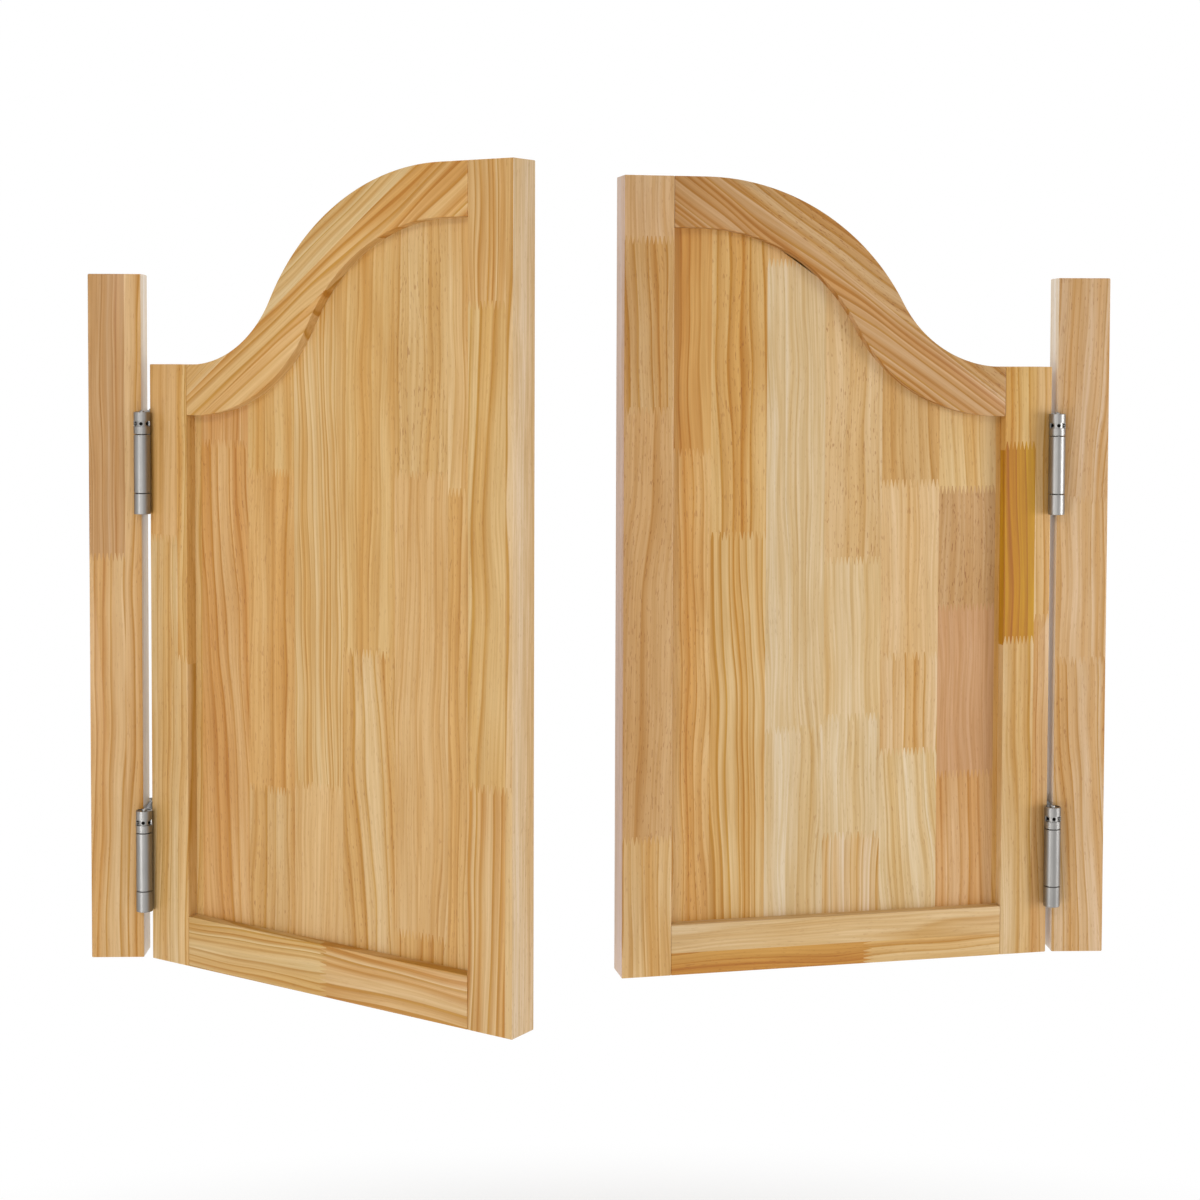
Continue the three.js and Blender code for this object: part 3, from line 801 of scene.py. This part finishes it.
spring_steel = satin_steel("spring_steel", OILED_TONE, OILED_DULLNESS)
for side, level, foot in each_hinge():
    for face in FACES:
        barrel = f"{side}_{level}_{face}"
        body = f"{barrel}_adjuster"
        place = fixed[side] @ foot @ axis_place[face]
        show_steel(f"{barrel}_tension_collar", collar_mesh, place, body, hinge_steel)
        show_steel(f"{barrel}_tension_pin", pin_mesh, place, body, spring_steel)

# Hinge flanges
# Steel plates in the hinge gap: one screwed to the batten, one to the edge of the leaf.
# Each is rolled into a barrel's middle knuckle, the batten's at the back and the leaf's in front.
PLATE_SEAT_GAP = 0.25 * MM
PLATE_INSET = 1 * MM
KNUCKLE_SEAM = 0.7 * MM
SCREW_COUNT = 4
SCREW_END_SPACE = 14 * MM
SCREW_STAGGER = 14 * MM
SCREW_HEAD_DIAMETER = 7 * MM
SCREW_SHANK_DIAMETER = 4 * MM

swung = {}
for side in SIDES:
    swing = swings[f"{side}_front_swing"]
    pivot = Matrix.Translation(swing["pos_m"])
    opening = Matrix.Rotation(math.radians(-swing["range_deg"][0]), 4, Vector(swing["axis"]))
    swung[side] = pivot @ opening @ pivot.inverted() @ fixed[side]

seat = PLATE_SEAT_GAP - half_gap
plate_face = seat + PLATE_THICKNESS
plate_reach = thickness / 2 - PLATE_INSET
middle_low = BOTTOM_KNUCKLE_HEIGHT + KNUCKLE_SEAM
middle_high = top_knuckle_low - KNUCKLE_SEAM
screw_pitch = (hinge_top - 2 * SCREW_END_SPACE) / (SCREW_COUNT - 1)
neck_start = plate_reach - CUT_OVERRUN
neck = slab((seat, neck_start, middle_low), (plate_face, neck_end, middle_high), PLATE_EASE)
knuckle = tube(barrel_radius, bore_radius, middle_low, middle_high, RIM_EASE)
knuckle.transform(Matrix.Translation((0, axis_reach, 0)))
shank, head = SCREW_SHANK_DIAMETER / 2, SCREW_HEAD_DIAMETER / 2
cone = turned([(0, 0), (shank, 0), (head, PLATE_THICKNESS), (0, PLATE_THICKNESS)], HOLE_SIDES)
countersinks = []
for i in range(SCREW_COUNT):
    across = SCREW_STAGGER * (i % 2 - 0.5)
    place = Matrix.Translation((seat, across, SCREW_END_SPACE + i * screw_pitch))
    countersinks.append(moved(cone, place @ Matrix.Rotation(QUARTER_TURN, 4, "Y")))
flange_mesh = slab((seat, -plate_reach, 0), (plate_face, plate_reach, hinge_top), PLATE_EASE)
flange_mesh = shaped("DIFFERENCE", shaped("UNION", flange_mesh, neck, knuckle), *countersinks)
flange_places = {}
for side, level, foot in each_hinge():
    for part, body, place in (
        ("jamb_flange", "root", fixed[side] @ foot),
        ("leaf_flange", f"{side}_leaf", swung[side] @ foot @ half_turn),
    ):
        flange_places.setdefault(body, []).append(place)
        show_steel(f"{side}_{level}_{part}", flange_mesh, place, body, hinge_steel)

# Torsion springs
# Coiled wire round each spindle, from the plug at the bottom to the tension collar at the top.
# Dark oiled steel, closed in by the barrel; one coil is swept and set on both hinges of a side.
SPRING_WIRE = 1.8 * MM
SPRING_DIAMETER = 9 * MM
SPRING_TURNS = 18.0
SPRING_STEPS_PER_TURN = 20
SPRING_END_GAP = 0.3 * MM
WIRE_SIDES = 10


def nodes_with(name, inputs):
    """Geometry node tree with named inputs of each kind and one geometry output."""
    tree = bpy.data.node_groups.new(name, "GeometryNodeTree")
    for kind, names in inputs.items():
        sockets(tree, "INPUT", kind, *names)
    sockets(tree, "OUTPUT", "Geometry", "Geometry")
    return tree, put(tree, "NodeGroupInput").outputs


def grow(name, tree, settings):
    """Plain mesh from a geometry node tree, with its named inputs set."""
    host = add(name, bpy.data.meshes.new(name))
    modifier = host.modifiers.new(name, "NODES")
    modifier.node_group = tree
    for socket in tree.interface.items_tree:
        if socket.in_out == "INPUT" and socket.name in settings:
            modifier[socket.identifier] = settings[socket.name]
    mesh = finished(host)
    host.modifiers.remove(modifier)
    bpy.data.objects.remove(host)
    return mesh


def gathered(name, mesh, places):
    """Copies of a mesh at several places, as one mesh."""
    together = bmesh.new()
    for place in places:
        together.from_mesh(moved(mesh, place))
    whole = bpy.data.meshes.new(name)
    together.to_mesh(whole)
    together.free()
    return whole


spring_tree, given = nodes_with("torsion spring", {
    "Int": ("Steps",),
    "Float": ("Turns", "Coil radius", "Wire radius", "Height"),
    "Vector": ("Foot", "Next"),
})
coil = put(
    spring_tree, "GeometryNodeCurveSpiral",
    given["Steps"], given["Turns"], given["Coil radius"], given["Coil radius"], given["Height"],
)
wire = put(
    spring_tree, "GeometryNodeCurvePrimitiveCircle",
    WIRE_SIDES, None, None, None, given["Wire radius"],
)
swept = put(spring_tree, "GeometryNodeCurveToMesh", coil.outputs[0], wire.outputs[0], None, True)
feet = put(spring_tree, "GeometryNodeMeshLine", len(LEVELS), None, given["Foot"], given["Next"])
coils = put(spring_tree, "GeometryNodeInstanceOnPoints", feet.outputs[0], None, swept.outputs[0])
real = put(spring_tree, "GeometryNodeRealizeInstances", coils.outputs[0])
oiled = put(spring_tree, "GeometryNodeSetMaterial", real.outputs[0], None, spring_steel)
put(spring_tree, "NodeGroupOutput", oiled.outputs[0])

spring_foot = plug_high + SPRING_END_GAP + SPRING_WIRE / 2
spring_head = collar_low - SPRING_END_GAP - SPRING_WIRE / 2
springs = grow("springs", spring_tree, {
    "Steps": SPRING_STEPS_PER_TURN,
    "Turns": SPRING_TURNS,
    "Coil radius": SPRING_DIAMETER / 2,
    "Wire radius": SPRING_WIRE / 2,
    "Height": spring_head - spring_foot,
    "Foot": (0, 0, hinge_foot["lower"] + spring_foot),
    "Next": (0, 0, hinge_foot["upper"] - hinge_foot["lower"]),
})
spring_places = {"root": [fixed[side] @ axis_place["back"] for side in SIDES]}
spring_nodes = {"root": [f"{side}_{level}_back_spring" for side in SIDES for level in LEVELS]}
for side in SIDES:
    spring_places[f"{side}_leaf"] = [swung[side] @ axis_place["front"]]
    spring_nodes[f"{side}_leaf"] = [f"{side}_{level}_front_spring" for level in LEVELS]
for body, places in spring_places.items():
    mesh = rounded(gathered(f"{body}_springs", springs, places))
    show(f"{body}_springs", mesh, Matrix(), spring_steel, body, spring_nodes[body])

# Hinge screws
# Countersunk cross-recess wood screws, four through each flange plate, staggered across it.
# Bright steel, sunk flush with the plates, each turned to its own angle.
SCREW_LENGTH = 24 * MM
SCREW_PLAY = 0.12 * MM
RECESS_WIDTH = 0.9 * MM
RECESS_SPAN = 3.8 * MM
RECESS_DEPTH = 0.9 * MM
SCREW_SEED = 3

screw_tree, given = nodes_with("plate screws", {
    "Int": ("Count", "Seed"),
    "Float": (
        "Head radius", "Head height", "Shank radius", "Shank length",
        "Recess span", "Recess width", "Recess depth", "Stagger",
    ),
    "Vector": ("First", "Pitch"),
})


def screw_vector(*parts):
    return put(screw_tree, "ShaderNodeCombineXYZ", *parts).outputs[0]


head_height = given["Head height"]
shank_radius, shank_length = given["Shank radius"], given["Shank length"]
head = put(
    screw_tree, "GeometryNodeMeshCone",
    HOLE_SIDES, 1, 1, given["Head radius"], shank_radius, head_height,
)
head_drop = figure(screw_tree, "MULTIPLY", head_height, -1.0)
head = put(screw_tree, "GeometryNodeTransform", head.outputs[0], screw_vector(0, 0, head_drop))
shank = put(screw_tree, "GeometryNodeMeshCylinder", HOLE_SIDES, 1, 1, shank_radius, shank_length)
shank_drop = figure(screw_tree, "ADD", head_height, shank_length)
shank_drop = figure(screw_tree, "MULTIPLY", shank_drop, -0.5)
shank = put(screw_tree, "GeometryNodeTransform", shank.outputs[0], screw_vector(0, 0, shank_drop))
screw = put(screw_tree, "GeometryNodeMeshBoolean", operation="UNION", solver="EXACT")
screw_tree.links.new(shank.outputs[0], screw.inputs["Mesh 2"])
screw_tree.links.new(head.outputs[0], screw.inputs["Mesh 2"])
recess = put(
    screw_tree, "GeometryNodeMeshBoolean", screw.outputs[0], operation="DIFFERENCE", solver="EXACT"
)
span, width = given["Recess span"], given["Recess width"]
bit_height = figure(screw_tree, "MULTIPLY", given["Recess depth"], 2.0)
for size in ((span, width), (width, span)):
    bit = put(screw_tree, "GeometryNodeMeshCube", screw_vector(*size, bit_height))
    screw_tree.links.new(bit.outputs[0], recess.inputs["Mesh 2"])
facing = put(screw_tree, "GeometryNodeTransform", recess.outputs[0], None, (0, QUARTER_TURN, 0))
row = put(screw_tree, "GeometryNodeMeshLine", given["Count"], None, given["First"], given["Pitch"])
index = put(screw_tree, "GeometryNodeInputIndex").outputs[0]
odd = figure(screw_tree, "MODULO", index, 2.0)
aside = figure(screw_tree, "MULTIPLY", odd, given["Stagger"])
row = put(screw_tree, "GeometryNodeSetPosition", row.outputs[0], None, None, screw_vector(0, aside))
turn = put(screw_tree, "FunctionNodeRandomValue", None, None, None, math.pi, data_type="FLOAT")
screw_tree.links.new(given["Seed"], turn.inputs["Seed"])
screws = put(screw_tree, "GeometryNodeInstanceOnPoints", row.outputs[0], None, facing.outputs[0])
screw_tree.links.new(screw_vector(turn.outputs[1]), screws.inputs["Rotation"])
real = put(screw_tree, "GeometryNodeRealizeInstances", screws.outputs[0])
bright = put(screw_tree, "GeometryNodeSetMaterial", real.outputs[0], None, hinge_steel)
put(screw_tree, "NodeGroupOutput", bright.outputs[0])

plate_screws = grow("plate_screws", screw_tree, {
    "Count": SCREW_COUNT,
    "Seed": SCREW_SEED,
    "Head radius": SCREW_HEAD_DIAMETER / 2 - SCREW_PLAY,
    "Head height": PLATE_THICKNESS,
    "Shank radius": SCREW_SHANK_DIAMETER / 2 - SCREW_PLAY,
    "Shank length": SCREW_LENGTH,
    "Recess span": RECESS_SPAN,
    "Recess width": RECESS_WIDTH,
    "Recess depth": RECESS_DEPTH,
    "Stagger": SCREW_STAGGER,
    "First": (plate_face, -SCREW_STAGGER / 2, SCREW_END_SPACE),
    "Pitch": (0, 0, screw_pitch),
})
for body, places in flange_places.items():
    mesh = rounded(gathered(f"{body}_screws", plate_screws, places))
    show(f"{body}_screws", mesh, Matrix(), hinge_steel, body, [])

# Stiles
# Upright sides of each leaf, as thick as the battens: a short hinge stile, a tall meeting stile.
# Each is planed from pine strips glued edge to edge, finger-jointed along their length.
EDGE_EASE = 0.9 * MM
STILE_WIDTH = 50 * MM
LEAF_WIDTH = 446 * MM

leaf_pine = lacquered_pine("leaf_pine")
leaf_place = {side: swung[side] @ Matrix.Translation((half_gap, 0, 0)) for side in SIDES}
rail_start = STILE_WIDTH
rail_end = LEAF_WIDTH - STILE_WIDTH
hinge_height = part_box("left_hinge_stile")[1].z
meeting_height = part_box("left_meeting_stile")[1].z

# Strips from the hinge edge on: where each ends, then its lengths from the foot up
HINGE_STILE_STRIPS = {
    "left": [
        (37, [("straw", "straight", 426), ("tan", "straight", None)]),
        (None, [("straw", "straight", 307), ("golden", "straight", None)]),
    ],
    "right": [
        (17, [("pink", "straight", 344), ("straw", "straight", None)]),
        (None, [("pale", "straight", 322), ("amber", "banded", 520), ("golden", "straight", None)]),
    ],
}
MEETING_STILE_STRIPS = {
    "left": [
        (438, [("tan", "banded", 222), ("straw", "wavy", 655), ("tan", "lined", None)]),
        (None, [("straw", "straight", 222), ("pale", "straight", None)]),
    ],
    "right": [
        (None, [
            ("straw", "straight", 135),
            ("pink", "streaked", 556),
            ("fawn", "straight", 722),
            ("sand", "plain", None),
        ]),
    ],
}
# Painted light: the meeting edges get a paler tint that stands in for the light they catch from the
# sides.
MEETING_EDGE_PAINTED_LIGHT = {"left": (0.63, 0.445, 0.24), "right": (0.725, 0.535, 0.405)}


def hang(side, node, mesh):
    """Shows a board of a leaf in place of its CAD node."""
    show(f"{node}_wood", mesh, leaf_place[side], leaf_pine, f"{side}_leaf", [node])


for side in SIDES:
    upright = [
        ("hinge_stile", 0, rail_start, hinge_height, HINGE_STILE_STRIPS),
        ("meeting_stile", rail_end, LEAF_WIDTH, meeting_height, MEETING_STILE_STRIPS),
    ]
    for part, start, far_edge, height, rows in upright:
        node = f"{side}_{part}"
        blocks = strips(start, far_edge, 0, level_head(height), rows[side])
        mesh = board(f"{node}_wood", blocks, thickness, UPRIGHT, EDGE_EASE)
        if part == "meeting_stile":
            painted_light_edge(mesh, MEETING_EDGE_PAINTED_LIGHT[side])
        hang(side, node, mesh)

# Bottom rails
# Straight rail between the stiles, stub-tenoned into their grooves and flush with them.
# Pine strips laid level, with a finger joint part of the way along.
LEVEL = 0.0
BOTTOM_RAIL_DEPTH = 50 * MM
BOTTOM_RAIL_STRIPS = {
    "left": [(None, [("straw", "lined", 225), ("tan", "banded", None)])],
    "right": [
        (22, [("straw", "straight", 192), ("brown", "straight", None)]),
        (None, [("pale", "cathedral", None)]),
    ],
}


def crosswise(blocks):
    """Turns upright strips into level ones."""
    return [([(along, across) for across, along in corners], *look) for corners, *look in blocks]


for side in SIDES:
    node = f"{side}_bottom_rail"
    rows = BOTTOM_RAIL_STRIPS[side]
    blocks = crosswise(strips(0, BOTTOM_RAIL_DEPTH, rail_start, level_head(rail_end), rows))
    hang(side, node, board(f"{node}_wood", blocks, thickness, LEVEL, EDGE_EASE))

# Top rails
# S-curved rail, band-sawn from a board of slanting strips, so its grain rises along the curve.
# A level run at each stile joins a hollow arc to a round one.
TOP_RAIL_DEPTH = 50 * MM
HINGE_LEVEL_RUN = 4 * MM
MEETING_LEVEL_RUN = 32 * MM
HOLLOW_RADIUS = 120 * MM
INNER_CURVE_SHIFT = 4 * MM
CURVE_STEPS = 120
RAIL_GRAIN = math.radians(37)

curve_start = rail_start + HINGE_LEVEL_RUN
curve_end = rail_end - MEETING_LEVEL_RUN
curve_angle = 2 * math.atan2(meeting_height - hinge_height, curve_end - curve_start)
round_radius = (curve_end - curve_start) / math.sin(curve_angle) - HOLLOW_RADIUS


def curve_height(x, drop, shift):
    """Height of the S-curve at x, lowered square to itself by drop and moved along by shift."""
    hollow_x, round_x = curve_start + shift, curve_end + shift
    hollow, crown = HOLLOW_RADIUS + drop, round_radius - drop
    if x <= hollow_x:
        return hinge_height - drop
    if x >= round_x:
        return meeting_height - drop
    if x < hollow_x + hollow * math.sin(curve_angle):
        return hinge_height + HOLLOW_RADIUS - math.sqrt(hollow**2 - (x - hollow_x) ** 2)
    return meeting_height - round_radius + math.sqrt(crown**2 - (x - round_x) ** 2)


def curve(start, end, drop, shift):
    """Points of the S-curve from start to end."""
    steps = max(2, round(CURVE_STEPS * (end - start) / (rail_end - rail_start)))
    places = [start + (end - start) * i / steps for i in range(steps + 1)]
    return [(x, curve_height(x, drop, shift)) for x in places]


def sawn(corners, grain, glue_lines):
    """Cuts an outline along slanting glue lines, given as distances square to the grain."""
    square = Vector((-math.sin(grain), 0, math.cos(grain)))
    flat = bmesh.new()
    flat.faces.new([flat.verts.new((x, 0, z)) for x, z in corners])
    for line in glue_lines:
        everything = flat.verts[:] + flat.edges[:] + flat.faces[:]
        bmesh.ops.bisect_plane(flat, geom=everything, plane_co=square * line, plane_no=square)
    cut = []
    for face in flat.faces:
        place = face.calc_center_median_weighted().dot(square)
        index = sum(line < place for line in glue_lines)
        cut.append(([(vert.co.x, vert.co.z) for vert in face.verts], index))
    flat.free()
    return cut


TOP_RAIL_GLUE_LINES = {"left": [375, 398, 424], "right": [388, 420]}
TOP_RAIL_STRIPS = {
    "left": [("golden", "lined"), ("golden", "banded"), ("golden", "banded"), ("straw", "lined")],
    "right": [("fawn", "banded"), ("russet", "banded"), ("russet", "dashed")],
}
rail_outline = curve(rail_start, rail_end, TOP_RAIL_DEPTH, INNER_CURVE_SHIFT)
rail_outline += curve(rail_start, rail_end, 0, 0)[::-1]
for side in SIDES:
    node = f"{side}_top_rail"
    glue_lines = [line * MM for line in TOP_RAIL_GLUE_LINES[side]]
    cut = sawn(rail_outline, RAIL_GRAIN, glue_lines)
    blocks = [(corners, *TOP_RAIL_STRIPS[side][index]) for corners, index in cut]
    hang(side, node, board(f"{node}_wood", blocks, thickness, RAIL_GRAIN, EDGE_EASE))

# Panels
# Thin panel set back in the middle of the frame, glued up of upright staves and finger-jointed.
# It is held in grooves round the frame, so its edges don't show.
PANEL_THICKNESS = 10 * MM
PANEL_TUCK = 2 * MM
PANEL_STAVES = {
    "left": [
        (59, [("straw", "straight", None)]),
        (121, [("honey", "leaning", 522), ("honey", "lined", None)]),
        (180, [("tan", "straight", 187), ("golden", "striped", 496), ("golden", "straight", None)]),
        (240, [("straw", "plain", 197), ("straw", "lined", None)]),
        (303, [("straw", "leaning", 330), ("golden", "straight", None)]),
        (365, [("golden", "straight", 72), ("tan", "cathedral", 500), ("tan", "flecked", None)]),
        (None, [("golden", "straight", 486), ("straw", "straight", None)]),
    ],
    "right": [
        # Painted light: the narrow stave next to the hinge stile is given the orange tint, which
        # stands in for the warm light bounced between the wood faces in the reveal.
        (55, [("orange", "straight", None)]),
        (116, [
            ("pink", "straight", 185),
            ("rose", "plain", 355),
            ("russet", "flecked", 475),
            ("straw", "striped", None),
        ]),
        (177, [
            ("cream", "slanted", 210),
            ("pale", "striped", 307),
            ("pale", "flecked", 482),
            ("fawn", "slanted", None),
        ]),
        (237, [
            ("cream", "lined", 127),
            ("cream", "plain", 247),
            ("cream", "plain", 405),
            ("pale", "flecked", None),
        ]),
        (298, [("cream", "straight", 237), ("cream", "plain", 702), ("tan", "straight", None)]),
        (355, [("straw", "banded", 432), ("golden", "striped", None)]),
        (None, [("golden", "striped", 515), ("orange", "banded", None)]),
    ],
}


def panel_head(start, end):
    return curve(start, end, TOP_RAIL_DEPTH - PANEL_TUCK, INNER_CURVE_SHIFT)


for side in SIDES:
    node = f"{side}_panel"
    start, far_edge = rail_start - PANEL_TUCK, rail_end + PANEL_TUCK
    foot = BOTTOM_RAIL_DEPTH - PANEL_TUCK
    blocks = strips(start, far_edge, foot, panel_head, PANEL_STAVES[side])
    hang(side, node, board(f"{node}_wood", blocks, PANEL_THICKNESS, UPRIGHT, 0))

# Studio
# White floor well below the hanging doors, a white surround and large soft lamps.
# Away from the doors the floor runs out into plain white.
FLOOR_DROP = 0.45
FLOOR_REACH = 30
FLOOR_SPREAD = (0.5, 1, 1)
FLOOR_FADE = (0.25, 0.65)
FLOOR_TONE = (0.95, 0.95, 0.95, 1)
FLOOR_DULLNESS = 0.9
WHITE = (1, 1, 1, 1)
AMBIENT = 0.36
OVERHEAD = 0.25


def seen(tree):
    """One for what the eye and the gloss see, nothing for the light that spreads."""
    path = put(tree, "ShaderNodeLightPath").outputs
    sight = figure(tree, "MAXIMUM", path["Is Camera Ray"], path["Is Glossy Ray"])
    return figure(tree, "MAXIMUM", sight, path["Is Transmission Ray"])


world = bpy.data.worlds.new("studio")
world.use_nodes = True
bpy.context.scene.world = world
sky = world.node_tree
surround = sky.nodes["Background"]
surround.inputs["Color"].default_value = WHITE
towards = put(sky, "ShaderNodeTexCoord").outputs["Generated"]
height = put(sky, "ShaderNodeSeparateXYZ", towards).outputs["Z"]
soft = figure(sky, "MULTIPLY_ADD", height, OVERHEAD, AMBIENT)
level = put(sky, "ShaderNodeMix", seen(sky), None, soft, 1.0).outputs[0]
sky.links.new(level, surround.inputs["Strength"])

floor_mesh = bpy.data.meshes.new("floor")
corners = [(x * FLOOR_REACH, y * FLOOR_REACH, 0) for x, y in ((-1, -1), (1, -1), (1, 1), (-1, 1))]
floor_mesh.from_pydata(corners, [], [(0, 1, 2, 3)])
floor_paint, tree, painted = new_material("floor_paint")
painted.inputs["Base Color"].default_value = FLOOR_TONE
painted.inputs["Roughness"].default_value = FLOOR_DULLNESS
place = put(tree, "ShaderNodeTexCoord").outputs["Object"]
spread = vector(tree, "MULTIPLY", place, FLOOR_SPREAD)
far = put(tree, "ShaderNodeVectorMath", spread, operation="LENGTH").outputs["Value"]
fade = put(tree, "ShaderNodeMapRange", far, *FLOOR_FADE, 0.0, 1.0, interpolation_type="SMOOTHSTEP")
fade = figure(tree, "MULTIPLY", fade.outputs[0], seen(tree))
white = put(tree, "ShaderNodeEmission", WHITE, 1.0)
mixed = put(tree, "ShaderNodeMixShader", fade, painted.outputs[0], white.outputs[0])
tree.links.new(mixed.outputs[0], tree.nodes["Material Output"].inputs["Surface"])
floor_mesh.materials.append(floor_paint)
floor = add("floor", floor_mesh)
floor.location = (0, 0, -FLOOR_DROP)
floor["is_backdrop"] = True

# Lamps: place, size and power
LAMPS = {
    "key": ((-0.9, -1.9, 1.6), 0.45, 10),
    "left": ((-1.7, -1.9, -0.2), 0.9, 15.8),
    "right": ((2.7, -1.1, 0.3), 1.0, 27),
    "front": ((-0.4, -2.8, 0.1), 1.2, 6.6),
    "top": ((0.0, 1.2, 2.6), 2.0, 26),
}
middle = (cad_low + cad_high) / 2
for name, (place, size, power) in LAMPS.items():
    lamp = bpy.data.lights.new(name, "AREA")
    lamp.size = size
    lamp.energy = power
    stand = add(name, lamp)
    stand.location = place
    stand.rotation_mode = "QUATERNION"
    stand.rotation_quaternion = (middle - Vector(place)).to_track_quat("-Z", "Y")

# Camera
# Eye a little above the hinge stiles and left of the middle, turned slightly to the right.
CAMERA_PLACE = (-0.0703, -2.099, 0.6202)
CAMERA_YAW = math.radians(1.86)
CAMERA_PITCH = math.radians(2.3)
CAMERA_ROLL = math.radians(0.19)
LENS = 62.0
SENSOR_WIDTH = 36
FRAME_SHIFT = -0.143

eye = bpy.data.cameras.new("camera")
eye.lens = LENS
eye.sensor_width = SENSOR_WIDTH
eye.shift_y = FRAME_SHIFT
camera = add("camera", eye)
yaw = Matrix.Rotation(-CAMERA_YAW, 4, "Z")
pitch = Matrix.Rotation(QUARTER_TURN - CAMERA_PITCH, 4, "X")
roll = Matrix.Rotation(CAMERA_ROLL, 4, "Z")
camera.matrix_world = Matrix.Translation(CAMERA_PLACE) @ yaw @ pitch @ roll
bpy.context.scene.camera = camera
bpy.context.scene.view_settings.view_transform = "Standard"

low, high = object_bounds()
